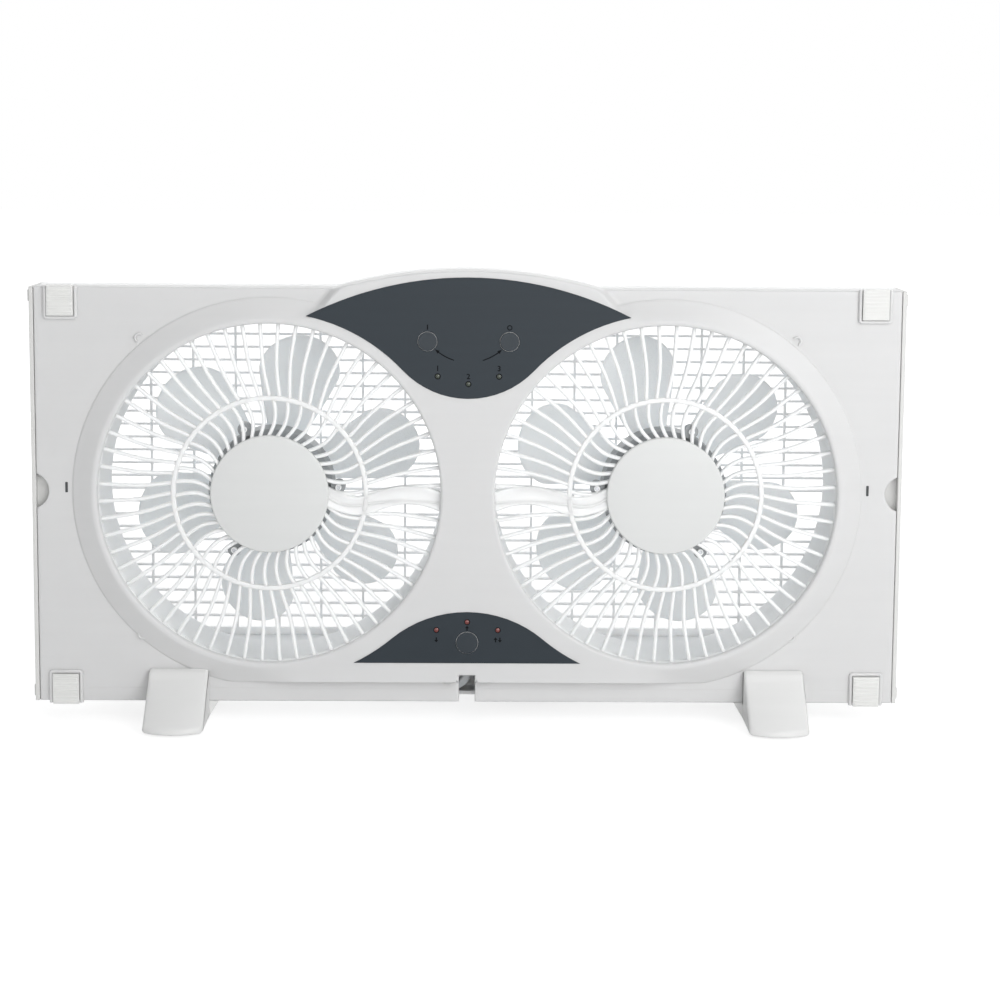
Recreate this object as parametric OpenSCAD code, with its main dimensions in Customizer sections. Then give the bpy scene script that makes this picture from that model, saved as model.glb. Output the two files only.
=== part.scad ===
// Twin window fan with side extenders, clip-on feet and a push-button console.
// Millimetres. X runs along the width, Y from front to back, Z up from the floor.
// The origin lies on the floor under the middle of the fan.

/* [Body] */
// Width of the flat end beside each duct
side_w = 42.9; // [40:0.1:60]
// Height of the flat band under the sloping rims
lower_band = 9; // [8:0.5:14]
// Height of the flat band over the sloping rims
upper_band = 4; // [3:0.5:12]
// Depth of the part that fills the window
frame_depth = 38; // [36:1:44]
// Depth from the face to the back of the rear grille
body_depth = 104; // [100:1:120]
// Thickness of the moulded walls
wall = 2.5; // [2:0.1:3]
// Width of the arch over the console
arch_w = 182; // [160:1:200]
// Rise of the arch above the body
arch_rise = 12.5; // [8:0.5:16]
// Height that the rims and the console stand in front of the face
console_rise = 7; // [5:0.5:9]
// Depth of the front frame's edge walls
front_depth = 20; // [18:1:24]
// Gap between a duct and the upper and lower walls of the box around it
box_gap = 6.4; // [5:0.1:9]
// Distance from the body's end to the box behind it
box_inset = 28; // [24:1:32]

/* [Fans] */
// Distance from the blade tips to the edge of the opening
tip_gap = 12; // [10:0.5:14]
// Width of the rim that slopes from the opening to the face
rim_w = 20; // [17:0.5:24]
// Width of the console between the two openings
spine_w = 37; // [34:0.5:44]
// Depth to which the ducts reach behind the face
duct_depth = 52; // [48:1:56]
// Radius of the blade tips
blade_tip_r = 105; // [98:1:110]
// Number of blades
blade_count = 6; // [5:1:7]
// Thickness of a blade
blade_t = 2; // [1.6:0.1:2.6]
// Angle of the blades to the fan's plane
blade_pitch = 26; // [18:1:30]
// Radius of the impeller's hub
impeller_hub_r = 29; // [24:1:32]
// Depth of the impeller's hub
impeller_hub_len = 26; // [22:1:28]
// Depth of the hub's front face behind the face
impeller_t = 49; // [48:1:52]
// Radius of the shafts
shaft_r = 4; // [3:0.5:5]
// Radius of a motor's shells
motor_r = 43; // [42:0.5:46]
// Depth of a motor
motor_len = 37; // [34:1:38]

/* [Grilles] */
// Number of bars from the hub to the middle ring
inner_bars = 42; // [36:1:48]
// Number of bars from the middle ring to the rim
outer_bars = 60; // [54:1:66]
// Width of a bar
bar_w = 1.9; // [1.6:0.1:2.4]
// Depth of the bars
bar_depth = 4; // [3:0.5:5]
// Radius of the hub caps
cap_r = 40.5; // [39:0.5:43]
// Radius of the middle ring
mid_ring_r = 65.8; // [62:0.2:70]
// Width of the middle ring
mid_ring_w = 3; // [2.4:0.1:4]
// Width of the arm that covers a motor's lead
arm_w = 13; // [10:0.5:15]
// Spacing of the rear grille's level bars
rear_pitch_z = 9.4; // [8:0.1:12]
// Spacing of the rear grille's upright bars
rear_pitch_x = 31; // [25:0.5:36]

/* [Console] */
// Radius of the two upper buttons
button_r = 6.4; // [5:0.1:7]
// Radius of the lower button
mode_button_r = 7.4; // [6:0.1:8]
// Distance between the upper buttons
button_spacing = 55.6; // [50:0.2:60]
// Height of the upper buttons above the fan axes
button_rise = 105.8; // [103:0.2:108]
// Depth of the lower button under the fan axes
mode_button_drop = 102.2; // [100:0.2:104]
// Travel of a button
button_travel = 1.2; // [0.8:0.1:1.4]
// Radius of the lamps
lamp_r = 1.7; // [1.4:0.1:2]

/* [Extenders] */
// Travel of each extender
extender_travel = 171; // [120:1:175]
// Width of an end rail's edge as seen from the front
end_rail_w = 2.8; // [2.4:0.1:3.4]
// Height of a guide rail's section
guide_h = 8; // [6:0.5:9]
// Depth of a guide rail's section
guide_d = 16; // [12:0.5:17]
// Depth of the bellows' pleats
pleat_d = 20; // [16:0.5:22]
// Number of pleats
pleat_count = 11; // [8:1:12]
// Thickness of the bellows' film
film_t = 0.5; // [0.4:0.05:0.6]
// Travel of a lock tab
tab_travel = 6; // [3:0.5:6]

/* [Feet] */
// Height of the body's lower edge above the floor
body_lift = 13.5; // [12:0.5:16]
// Distance from the left fan's axis to the middle of its foot, towards the end
foot_offset_left = 63; // [57:0.5:77]
// Distance from the right fan's axis to the middle of its foot, towards the end
foot_offset_right = 76.5; // [57:0.5:77]
// Width of a foot
foot_w = 41; // [36:1:46]
// How far a foot reaches in front of the face
foot_front = 44; // [38:1:48]
// How far a foot reaches behind the rear grille
foot_rear = 34; // [26:1:40]
// Height of a foot's front lug above the body's lower edge
lug_h = 24; // [20:1:26]
// Thickness of the rubber pads
pad_t = 1.5; // [1:0.1:2]

/* [Cord] */
// Width of the flat cord
cord_w = 6; // [5:0.1:7]
// Thickness of the flat cord
cord_t = 3.6; // [3:0.1:4]

/* [Hidden] */
$fn = 64;

fit = 0.3;            // gap between pieces that move or are laid in
skin = 0.02;          // overlap that makes pieces of one node one solid
duct_wall = 2.6;
lip_r = blade_tip_r + tip_gap;         // radius of the openings
bezel_r = lip_r + rim_w;               // radius where the sloping rim meets the face
fan_height = lower_band + bezel_r;     // height of the fan axes above the lower edge
body_h = fan_height + bezel_r + upper_band;
fan_spacing = 2 * lip_r + spine_w;
fan_x = fan_spacing / 2;
half_w = fan_x + lip_r + duct_wall + side_w;
box_half_h = lip_r + duct_wall + box_gap;
foot_len = foot_front + body_depth + foot_rear;
face_y = foot_front - foot_len / 2;
axis_z = body_lift + fan_height;
foot_xs = [fan_x + foot_offset_left, fan_x + foot_offset_right];
button_z = fan_height + button_rise;
mode_button_z = fan_height - mode_button_drop;
face_half_w = half_w - end_rail_w - fit;
box_half_w = half_w - box_inset;
plate_t = frame_depth - wall;          // front of the plate behind the window part
arch_r = (arch_w * arch_w / 4 + arch_rise * arch_rise) / (2 * arch_rise);
arch_top = body_h + arch_rise;
console_top_r = 248;
console_bottom = lower_band + 6;
rebate_r = lip_r + 3.4;                // seat of a front grille's rim
rebate_t = -2;
lip_t = 8;                             // depth of the rim's inner wall
duct_front = 3.3;
guide_top_z = body_h - 15;             // lower face of the upper guide rail
guide_bottom_z = 2 * fan_height - guide_top_z - guide_h;
guide_t = 14;
bellows_x = half_w - 36;               // fixed end of the bellows
guide_block_len = 16;
guide_spare = 9;                       // what stays inside a guide block at full travel
guide_end_x = bellows_x - guide_block_len - extender_travel - guide_spare;
bellows_t = 12;
tab_w = 17.8;
tab_h = 21;
tab_x = half_w - 21.5;
tab_rise = 1.5;                        // how far a lock tab stands past the edge
tab_face = 3;                          // thickness of a tab's ribbed face
tab_neck_h = 6;                        // height of the neck in its slot
hub_plate_r = cap_r - 0.3;
motor_t = 3;
motor_lugs = [5, 112, 238];
lug_r = motor_r + 4;
bush_len = 8;
core_t = 14.5;
core_len = 15;
core_r = 22;
blade_phase = [18.4, 19.4];
board_t = 1.6;                         // thickness of the circuit boards
board_depth = 5;                       // depth of the boards' front faces
panel_t = 1.4;
panel_sink = 1;
switch_h = 3.4;
stem_r = 2;                            // radius of a button's stem
stem_depth = 0.5;                      // how far a stem reaches into its switch at rest
gland_x = -30;
gland_z = 11;
gland_tail = 28;

// ---------------------------------------------------------------- helpers

// Extrudes a shape drawn in X and Z between two depths behind the face
module slab(front, back)
    translate([0, face_y + back, body_lift])
        rotate([90, 0, 0]) linear_extrude(back - front) children();

// Mirrors what is drawn for the left side when the side is 1
module on_side(side) mirror([side, 0, 0]) children();

// A round piece on the left fan's axis
module on_axis(radius, front, back)
    translate([-fan_x, face_y + front, axis_z])
        rotate([-90, 0, 0]) cylinder(r = radius, h = back - front, $fn = 96);

// A profile of radius and depth turned about the left fan's axis
module turned_on_axis()
    translate([-fan_x, face_y, axis_z])
        rotate([-90, 0, 0]) rotate_extrude($fn = 96) children();

// A pin along Y at x and z, between two depths
module pin_at(x, z, radius, front, back)
    translate([x, face_y + front, body_lift + z])
        rotate([-90, 0, 0]) cylinder(r = radius, h = back - front, $fn = 32);

// A box from its low corner, with depth and height measured on the body
module block(x, t, z, size) translate([x, face_y + t, body_lift + z]) cube(size);

function polar(r, a) = [r * cos(a), r * sin(a)];
function arc(centre, r, a0, a1, n) =
    [for (i = [0:n]) centre + polar(r, a0 + (a1 - a0) * i / n)];
function flip_x(points) =
    [for (i = [len(points) - 1:-1:0]) [-points[i][0], points[i][1]]];
function unit(v) = v / norm(v);

// Height at which two circles meet, the first centred on x = 0
function meet(z1, r1, x2, z2, r2) =
    let (d = norm([x2, z2 - z1]),
         a = (d * d + r1 * r1 - r2 * r2) / (2 * d),
         h = sqrt(max(0, r1 * r1 - a * a)),
         u = [x2, z2 - z1] / d)
    [u[0] * a - u[1] * h, z1 + u[1] * a + u[0] * h];

// ---------------------------------------------------------------- outlines

module body_outline(half, inset) {
    translate([-half, inset]) square([2 * half, body_h - 2 * inset]);
    intersection() {
        translate([0, arch_top - arch_r]) circle(r = arch_r - inset, $fn = 256);
        translate([-arch_w / 2 + inset, body_h / 2]) square([arch_w - 2 * inset, body_h]);
    }
}

// Walls along the upper and lower edges; the ends stay open for the extenders
module edge_walls() difference() {
    body_outline(face_half_w, 0);
    body_outline(face_half_w + 5, wall);
}

// Raised ground of the console, between the two rims
module console_outline(inset)
    difference() {
        intersection() {
            translate([0, arch_top - console_top_r])
                circle(r = console_top_r - inset, $fn = 256);
            translate([-fan_x, console_bottom + inset]) square([2 * fan_x, body_h]);
        }
        for (x = [-fan_x, fan_x])
            translate([x, fan_height]) circle(r = lip_r + 6 + inset, $fn = 96);
    }

// Upper panel: an arch above, the two rims beside it and a round chin tangent to them
upper_fan_r = lip_r + 8.2;
upper_top = body_h + 8.3;
upper_top_r = 240;
upper_chin = fan_height + 66.8;
function chin_radius(r, rise) =
    (fan_x * fan_x + rise * rise - r * r) / (2 * (r - rise));
upper_chin_r = chin_radius(upper_fan_r, upper_chin - fan_height);

function upper_half(g) =
    let (top = [0, upper_top - upper_top_r],
         fan = [fan_x, fan_height],
         chin = [0, upper_chin + upper_chin_r],
         tip = meet(top[1], upper_top_r + g, fan_x, fan_height, upper_fan_r - g),
         tip_on_top = atan2(tip[1] - top[1], tip[0]),
         tip_on_fan = atan2(tip[1] - fan[1], tip[0] - fan[0]),
         touch = atan2(chin[1] - fan[1], chin[0] - fan[0]),
         chin_end = atan2(fan[1] - chin[1], fan[0] - chin[0]))
    concat(
        arc(top, upper_top_r + g, 90, tip_on_top, 14),
        arc(fan, upper_fan_r - g, tip_on_fan, touch, 12),
        arc(chin, upper_chin_r + g, chin_end, -90, 8));

module upper_outline(g) {
    half = upper_half(g);
    polygon(concat(half, flip_x(half)));
}

lower_fan_r = lip_r + 13;
lower_top = fan_height - 80.7;
lower_edge = fan_height - 116.6;
lower_top_r = chin_radius(lower_fan_r, fan_height - lower_top);

function lower_half(g) =
    let (fan = [fan_x, fan_height],
         crown = [0, lower_top - lower_top_r],
         edge = lower_edge - g,
         drop = fan[1] - edge,
         tip_on_fan = 360 - acos(0) - acos(drop / (lower_fan_r - g)),
         touch = 360 + atan2(crown[1] - fan[1], crown[0] - fan[0]),
         crown_end = atan2(fan[1] - crown[1], fan[0] - crown[0]))
    concat(
        arc(crown, lower_top_r + g, 90, crown_end, 8),
        arc(fan, lower_fan_r - g, touch, tip_on_fan, 12));

module lower_outline(g) {
    half = lower_half(g);
    polygon(concat(half, flip_x(half)));
}

// ---------------------------------------------------------------- front frame

function at_axes(places) = [for (p = places) [p[0], fan_height + p[1]]];
speed_lamp_places = at_axes([[-20.8, 82.1], [0, 76.9], [20.8, 82.1]]);
mode_lamp_places = at_axes([[-21.1, -93.3], [0, -87.7], [21.1, -93.3]]);
// the boards lie between the rims' inner walls, a clearance away from them
board_gap = 1;
speed_board_h = 64;
speed_board_low = upper_chin + 4.2;
speed_board_w = 2 * (fan_x - sqrt(pow(rebate_r + wall + board_gap, 2)
                                  - pow(speed_board_low - fan_height, 2)));
mode_board_w = 72;
mode_board_h = 28;
mode_board_low = fan_height - 110;
speed_boss_places = [for (x = [-1, 1]) for (z = [5, speed_board_h - 4])
    [x * (speed_board_w / 2 - 3), speed_board_low + z]];
mode_boss_places = [for (x = [-1, 1]) [x * (mode_board_w / 2 - 4), mode_board_low + 6]];
hook_places = at_axes([[-fan_x - 88, 106.6], [-fan_x - 88, -99]]);
edge_screw_z = 7.5;
case_screw_places = concat(
    at_axes([[-fan_x - 102.5, -104], [-fan_x - 102.5, 104], [-10, -62], [-10, 60]]),
    [[-fan_x - 14.5, edge_screw_z], [-fan_x + 75.5, edge_screw_z]]);

module bezel_profile()
    polygon([
        [lip_r, rebate_t], [lip_r, -console_rise + 1.8],
        [lip_r + 0.6, -console_rise + 0.7], [lip_r + 1.8, -console_rise],
        [lip_r + 7, -console_rise], [lip_r + 9.4, -console_rise + 0.9],
        [bezel_r - 3, -0.7], [bezel_r, 0], [bezel_r, wall], [bezel_r - 4, wall],
        [lip_r + 8.4, -console_rise + 3.6], [rebate_r + wall, -console_rise + 2.6],
        [rebate_r + wall, lip_t], [rebate_r, lip_t], [rebate_r, rebate_t]
    ]);

// Guide around a lock tab, open towards the nearer edge; drawn for the top left
module tab_guide() {
    w = tab_w + 2 * fit;
    low = body_h + tab_rise - tab_h - fit;
    block(-tab_x - w / 2 - 2.4, -2.2, low - 2.4, [2.4, 2.2 + skin, body_h - low + 2.4 + 1]);
    block(-tab_x + w / 2, -2.2, low - 2.4, [2.4, 2.2 + skin, body_h - low + 2.4 + 1]);
    block(-tab_x - w / 2 - 1, -2.2, low - 2.4, [w + 2, 2.2 + skin, 2.4]);
}

// Small hooked snap mark on the rim's shoulder
module snap_hook(x, z, turn)
    translate([x, face_y, body_lift + z]) rotate([90, 0, 0]) rotate([0, 0, turn])
        rotate_extrude(angle = 200, $fn = 32) translate([2, -0.5]) square([1.4, 1.7]);

// Mirrors top and bottom about the middle of the body
module on_level(level)
    translate([0, 0, level * (2 * body_lift + body_h)]) mirror([0, 0, level]) children();

module front_frame() color("#dcdddb") {
    difference() {
        union() {
            difference() {
                union() {
                    slab(0, wall) body_outline(face_half_w, 0);
                    slab(0, front_depth) edge_walls();
                    slab(-console_rise, skin) console_outline(0);
                    for (side = [0, 1]) on_side(side) turned_on_axis() bezel_profile();
                }
                slab(-console_rise + wall, wall + 1) console_outline(wall);
                for (side = [0, 1]) on_side(side) {
                    on_axis(lip_r, -console_rise - 1, 12);
                    on_axis(rebate_r, rebate_t, 12);
                }
            }
            for (place = concat(speed_boss_places, mode_boss_places))
                pin_at(place[0], place[1], 3, -console_rise + wall - skin, board_depth);
            for (side = [0, 1]) on_side(side) {
                for (level = [0, 1]) on_level(level) tab_guide();
                for (place = case_screw_places)
                    pin_at(place[0], place[1], 3.4,
                           abs(place[0]) < 20 ? -console_rise + wall - skin : wall - skin,
                           plate_t);
            }
            for (side = [0, 1]) on_side(side) {
                snap_hook(hook_places[0][0], hook_places[0][1], 40);
                snap_hook(hook_places[1][0], hook_places[1][1], 120);
            }
        }
        // the panels' seats, buttons and lamps
        slab(-console_rise - 1, -console_rise + panel_sink) upper_outline(fit);
        slab(-console_rise - 1, -console_rise + panel_sink) lower_outline(fit);
        for (x = [-button_spacing / 2, button_spacing / 2])
            pin_at(x, button_z, button_r + fit, -console_rise - 1, wall);
        pin_at(0, mode_button_z, mode_button_r + fit, -console_rise - 1, wall);
        for (place = concat(speed_lamp_places, mode_lamp_places))
            pin_at(place[0], place[1], lamp_r + fit, -console_rise - 1, wall);
        for (place = concat(speed_boss_places, mode_boss_places))
            pin_at(place[0], place[1], 1.2, 0, board_depth + 1);
        for (side = [0, 1]) on_side(side) {
            for (place = case_screw_places)
                pin_at(place[0], place[1], 1.5, plate_t - 14, plate_t + 1);
            // finger notch, small slot, lock tab's slot and the notch for the motor's lead
            pin_at(-half_w - 1, fan_height + 1, 12.4, -1, wall + 1);
            block(-half_w + 22.8, -1, fan_height, [1.8, wall + 2, 7.2]);
            for (level = [0, 1]) on_level(level)
                block(-tab_x - 4.8, -3, body_h - 16.8, [9.6, wall + 4, tab_neck_h + 0.6 + tab_travel]);
            lead_cut();
            foot_slots(side);
        }
        // notch for the cord
        block(-5.5, -1, -1, [11, wall + 2, 21.5]);
    }
}

module panel() slab(-console_rise - panel_t + panel_sink, -console_rise + panel_sink)
    children();

module upper_panel() color("#47525a") difference() {
    panel() upper_outline(0);
    for (x = [-button_spacing / 2, button_spacing / 2])
        pin_at(x, button_z, button_r + fit, -console_rise - 2, 0);
    for (place = speed_lamp_places)
        pin_at(place[0], place[1], lamp_r + fit, -console_rise - 2, 0);
}

module lower_panel() color("#47525a") difference() {
    panel() lower_outline(0);
    pin_at(0, mode_button_z, mode_button_r + fit, -console_rise - 2, 0);
    for (place = mode_lamp_places)
        pin_at(place[0], place[1], lamp_r + fit, -console_rise - 2, 0);
}

// ---------------------------------------------------------------- control boards

board_front = board_depth;
board_back = board_depth + board_t;
button_front = -console_rise - panel_t + panel_sink - 0.9;

module lamps(places) color("#8a8f5a") for (place = places) {
    pin_at(place[0], place[1], lamp_r, -console_rise - panel_t + panel_sink, board_front);
    pin_at(place[0], place[1], lamp_r + 0.9, board_front - 2.5, board_front);
}

// A push switch on the board, with a bore for the button's stem
module push_switch(x, z) difference() {
    block(x - 3.5, board_front - switch_h, z - 3.5, [7, switch_h + skin, 7]);
    pin_at(x, z, stem_r + fit, board_front - switch_h - 1,
           board_front - switch_h + stem_depth + button_travel + fit);
}

module speed_board() color("#2f6b45") difference() {
    union() {
        block(-speed_board_w / 2, board_front, speed_board_low,
              [speed_board_w, board_t, speed_board_h]);
        for (x = [-button_spacing / 2, button_spacing / 2]) push_switch(x, button_z);
        block(-14, board_back - skin, speed_board_low + 19, [28, 7, 12]);
        block(-28, board_back - skin, speed_board_low + 45, [16, 5, 9]);
        block(12, board_back - skin, speed_board_low + 45, [18, 5, 9]);
    }
    for (place = speed_boss_places) pin_at(place[0], place[1], 1.7, 0, board_back + 1);
}

module mode_board() color("#2f6b45") difference() {
    union() {
        block(-mode_board_w / 2, board_front, mode_board_low,
              [mode_board_w, board_t, mode_board_h]);
        push_switch(0, mode_button_z);
        block(-7, board_back - skin, mode_board_low + 1, [14, 6, 9]);
        block(14, board_back - skin, mode_board_low + 12, [16, 7, 12]);
    }
    for (place = mode_boss_places) pin_at(place[0], place[1], 1.7, 0, board_back + 1);
}

module board_screws() color("#b9bcc0")
    for (place = concat(speed_boss_places, mode_boss_places)) {
        pin_at(place[0], place[1], 1.15, board_front - 4, board_back + 0.5);
        pin_at(place[0], place[1], 2.8, board_back, board_back + 2);
    }

// Receiver behind the upper panel
sensor_w = 10;
sensor_h = 8;
sensor_t = 6;
module remote_sensor() color("#30343a") {
    block(-sensor_w / 2, board_front - sensor_t, speed_board_low + 40,
          [sensor_w, sensor_t, sensor_h]);
    pin_at(0, speed_board_low + 40 + sensor_h / 2, 2.4,
           board_front - sensor_t - 2, board_front - sensor_t + 1);
}

capacitor_w = 24;
capacitor_h = 42;
capacitor_t = 18.5;
module run_capacitors() color("#33363a")
    for (z = [fan_height - 48, fan_height + 2])
        block(-capacitor_w / 2, plate_t - capacitor_t, z, [capacitor_w, capacitor_t, capacitor_h]);

// A button's cap, its collar behind the frame and the stem that enters its switch
module push_button(x, z, radius) {
    collar_front = -console_rise + wall + 0.1;
    pin_at(x, z, radius, button_front, collar_front + 0.5);
    pin_at(x, z, radius + 1.4, collar_front, collar_front + 1.2);
    pin_at(x, z, stem_r, collar_front, board_front - switch_h + stem_depth);
}

// ---------------------------------------------------------------- rear housing

foot_hook_t = [8, 24];
module foot_slots(side)
    for (t = foot_hook_t) block(-foot_xs[side] - 6, t - 0.3, -1, [12, 3.6, wall + 2]);

guide_block_x = -bellows_x;
module guide_block(z)
    difference() {
        block(guide_block_x, guide_t - 3, z - 2.5,
              [guide_block_len, plate_t - guide_t + 3 + skin, guide_h + 5]);
        block(guide_block_x - 1, guide_t - fit, z - fit,
              [guide_block_len + 2, guide_d + 2 * fit, guide_h + 2 * fit]);
    }

module rear_housing() color("#e6e6e3")
    difference() {
        union() {
            slab(plate_t, frame_depth) body_outline(face_half_w, 0);
            slab(front_depth, plate_t + skin) edge_walls();
            for (side = [0, 1]) on_side(side) {
                on_axis(lip_r + duct_wall, duct_front, duct_depth);
                // wall that carries the fixed end of the bellows
                block(-bellows_x, bellows_t, guide_bottom_z + guide_h + 0.6,
                      [2, plate_t - bellows_t + skin, guide_top_z - guide_bottom_z - guide_h - 1.2]);
                guide_block(guide_top_z);
                guide_block(guide_bottom_z);
            }
            slab(frame_depth - skin, body_depth - 4) difference() {
                translate([-box_half_w, fan_height - box_half_h])
                    square([2 * box_half_w, 2 * box_half_h]);
                translate([-box_half_w + wall, fan_height - box_half_h + wall])
                    square([2 * (box_half_w - wall), 2 * (box_half_h - wall)]);
            }
            for (place = grille_screw_places)
                pin_at(place[0], place[1], 3.6, frame_depth, body_depth - 4);
        }
        for (side = [0, 1]) on_side(side) {
            on_axis(lip_r, 0, body_depth);
            for (place = case_screw_places) pin_at(place[0], place[1], 1.8, plate_t - 1, 60);
            foot_slots(side);
            lead_cut();
        }
        for (place = grille_screw_places)
            pin_at(place[0], place[1], 1.4, body_depth - 18, body_depth);
        pin_at(gland_x, gland_z, 5.2, plate_t - 1, frame_depth + 1);
    }

grille_screw_places = [for (x = [-box_half_w + 20, 0, box_half_w - 20]) for (level = [-1, 1])
    [x, fan_height + level * (box_half_h - 4.2)]];

function cell(x, z, w, h) = [[x, z], [x + w, z], [x + w, z + h], [x, z + h]];

// Frame and grid in one flat outline: every gap of the grid is a hole in it
module grid_outline() {
    border = 8;
    rib = 1.5;
    inner_w = 2 * (box_half_w - border);
    inner_h = 2 * (box_half_h - border);
    columns = round(inner_w / rear_pitch_x);
    rows = round(inner_h / rear_pitch_z);
    step_x = (inner_w + rib) / columns;
    step_z = (inner_h + rib) / rows;
    cells = [for (i = [0:columns - 1]) for (j = [0:rows - 1])
        cell(-inner_w / 2 + i * step_x, fan_height - inner_h / 2 + j * step_z,
             step_x - rib, step_z - rib)];
    rim = cell(-box_half_w, fan_height - box_half_h, 2 * box_half_w, 2 * box_half_h);
    polygon(
        points = [for (ring = concat([rim], cells)) each ring],
        paths = [for (k = [0:len(cells)]) [for (i = [0:3]) 4 * k + i]]);
}

module rear_grille() color("#dfe1e0")
    difference() {
        slab(body_depth - 4, body_depth) grid_outline();
        for (place = grille_screw_places)
            pin_at(place[0], place[1], 1.7, body_depth - 5, body_depth + 1);
    }

module grille_screws() color("#b9bcc0") for (place = grille_screw_places) {
    pin_at(place[0], place[1], 1.35, body_depth - 14, body_depth + 0.5);
    pin_at(place[0], place[1], 3.1, body_depth, body_depth + 1.8);
}

module case_screws() color("#b9bcc0")
    for (side = [0, 1]) on_side(side) for (place = case_screw_places) {
        pin_at(place[0], place[1], 1.45, plate_t - 12, frame_depth + 0.5);
        pin_at(place[0], place[1], 3.4, frame_depth, frame_depth + 2);
    }

// ---------------------------------------------------------------- front grilles

grille_front = rebate_t + fit;
grille_back = grille_front + bar_depth;
ring_in = mid_ring_r - mid_ring_w / 2;
ring_out = mid_ring_r + mid_ring_w / 2;

// The bars swing back from the hub, then forward again towards the rim
function inner_swing(r) =
    let (u = (r - cap_r) / (ring_in - cap_r) * 2 - 1)
    (u < 0 ? 4.5 : 1.75) * u * u;
function outer_swing(r) =
    let (v = min(1, (r - ring_out) / (lip_r - ring_out) / 0.6))
    3 * (1 - (1 - v) * (1 - v));
function half_bar(r) = asin(bar_w / 2 / r);

function gap_ring(r0, r1, steps, swing, a0, a1) = concat(
    [for (i = [0:steps]) let (r = r0 + (r1 - r0) * i / steps)
        polar(r, a0 + swing(r) + half_bar(r))],
    [for (i = [steps:-1:0]) let (r = r0 + (r1 - r0) * i / steps)
        polar(r, a1 + swing(r) - half_bar(r))]);

inner_steps = 6;
outer_steps = 5;
inner_gaps = [for (k = [0:inner_bars - 1])
    gap_ring(hub_plate_r, ring_in, inner_steps, function (r) inner_swing(r),
             360 * k / inner_bars, 360 * (k + 1) / inner_bars)];
outer_gaps = [for (k = [0:outer_bars - 1])
    gap_ring(ring_out, lip_r + 0.4, outer_steps, function (r) outer_swing(r),
             360 * k / outer_bars, 360 * (k + 1) / outer_bars)];

module gaps(rings) {
    n = len(rings[0]);
    polygon(
        points = [for (ring = rings) each ring],
        paths = [for (k = [0:len(rings) - 1]) [for (i = [0:n - 1]) k * n + i]]);
}

// Middle line of the arm as radius and angle, from the hub to the rim
arm_start = cap_r - 2;
arm_end = rebate_r - 2;
arm_line = [for (p = [[0, -2.5], [0.089, -6], [0.191, -7.8], [0.281, -7.8], [0.37, -5.7],
                      [0.51, -2.2], [0.65, -0.4], [0.816, -0.7], [0.918, -1.7], [1, -2.8]])
    [arm_start + p[0] * (arm_end - arm_start), p[1]]];
function arm_points(width) = concat(
    [for (p = arm_line) polar(p[0], p[1] + asin(width / 2 / p[0]))],
    [for (i = [len(arm_line) - 1:-1:0]) let (p = arm_line[i])
        polar(p[0], p[1] - asin(width / 2 / p[0]))]);

module front_grille() color("#f2f2f0") {
    difference() {
        union() {
            slab(grille_front, grille_back) translate([-fan_x, fan_height]) {
                difference() {
                    circle(r = rebate_r - fit, $fn = 96);
                    gaps(inner_gaps);
                    gaps(outer_gaps);
                }
                polygon(arm_points(arm_w));
            }
            for (a = motor_lugs) {
                p = polar(lug_r, a);
                pin_at(-fan_x + p[0], fan_height + p[1], 4.2, grille_front + 1, motor_t);
            }
        }
        on_axis(2.6, grille_front - 1, grille_back + 1);
        for (a = motor_lugs) {
            p = polar(lug_r, a);
            pin_at(-fan_x + p[0], fan_height + p[1], 1.4, grille_front + 1.6, motor_t + 1);
        }
    }
}

// Slightly domed cap with a snap post in the middle of the grille's hub
module hub_cap() color("#d9dbda") {
    turned_on_axis() polygon([
        [0, grille_front - 4.4], [cap_r * 0.5, grille_front - 4.1],
        [cap_r * 0.8, grille_front - 3.4], [cap_r - 1.2, grille_front - 2.4],
        [cap_r, grille_front - 1.4], [cap_r, grille_front], [cap_r - 2, grille_front],
        [cap_r - 2, grille_front - 0.9], [cap_r * 0.8, grille_front - 1.8],
        [6, grille_front - 2.4], [6, grille_front], [2.3, grille_front],
        [2.3, grille_back + 0.4], [0, grille_back + 0.4]]);
}

// ---------------------------------------------------------------- motors

motor_mid = motor_t + motor_len / 2;
motor_back = motor_t + motor_len;

module front_shell() color("#5c6066") difference() {
    union() {
        turned_on_axis() polygon([
            [shaft_r + 1, motor_t + 3], [12, motor_t + 3], [14, motor_t + 1.6],
            [40, motor_t + 1.6], [motor_r, motor_t + 6], [motor_r, motor_mid],
            [motor_r - 2.4, motor_mid], [motor_r - 2.4, motor_t + 7],
            [38.6, motor_t + 4.2], [15, motor_t + 4.2], [9.5, motor_t + 3 + bush_len],
            [shaft_r + 1, motor_t + 3 + bush_len]]);
        slab(motor_t, motor_t + 8) translate([-fan_x, fan_height])
            for (a = motor_lugs) rotate(a) {
                translate([lug_r, 0]) circle(r = 4.6, $fn = 32);
                translate([motor_r - 1.2, -3.8]) square([6, 7.6]);
            }
    }
    on_axis(bush_r + 0.02, motor_t + 2, motor_t + 3 + bush_len);
    for (a = motor_lugs) {
        p = polar(lug_r, a);
        pin_at(-fan_x + p[0], fan_height + p[1], 2.1, motor_t - 1, motor_t + 9);
    }
}

bush_r = shaft_r + 3;
module rear_shell() color("#5c6066") difference() {
    turned_on_axis() polygon([
        [0, motor_back], [0, motor_back - 10], [bush_r + 3, motor_back - 10],
        [bush_r + 4, motor_back - 4], [motor_r - 8, motor_back - 4],
        [motor_r - 2.4, motor_back - 8], [motor_r - 2.4, motor_mid + 0.1],
        [motor_r, motor_mid + 0.1], [motor_r, motor_back - 7],
        [motor_r - 7, motor_back - 1.6], [bush_r + 5, motor_back - 1.6],
        [bush_r + 4, motor_back]]);
    on_axis(bush_r + 0.02, motor_back - 12, motor_back + 1);
}

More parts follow.
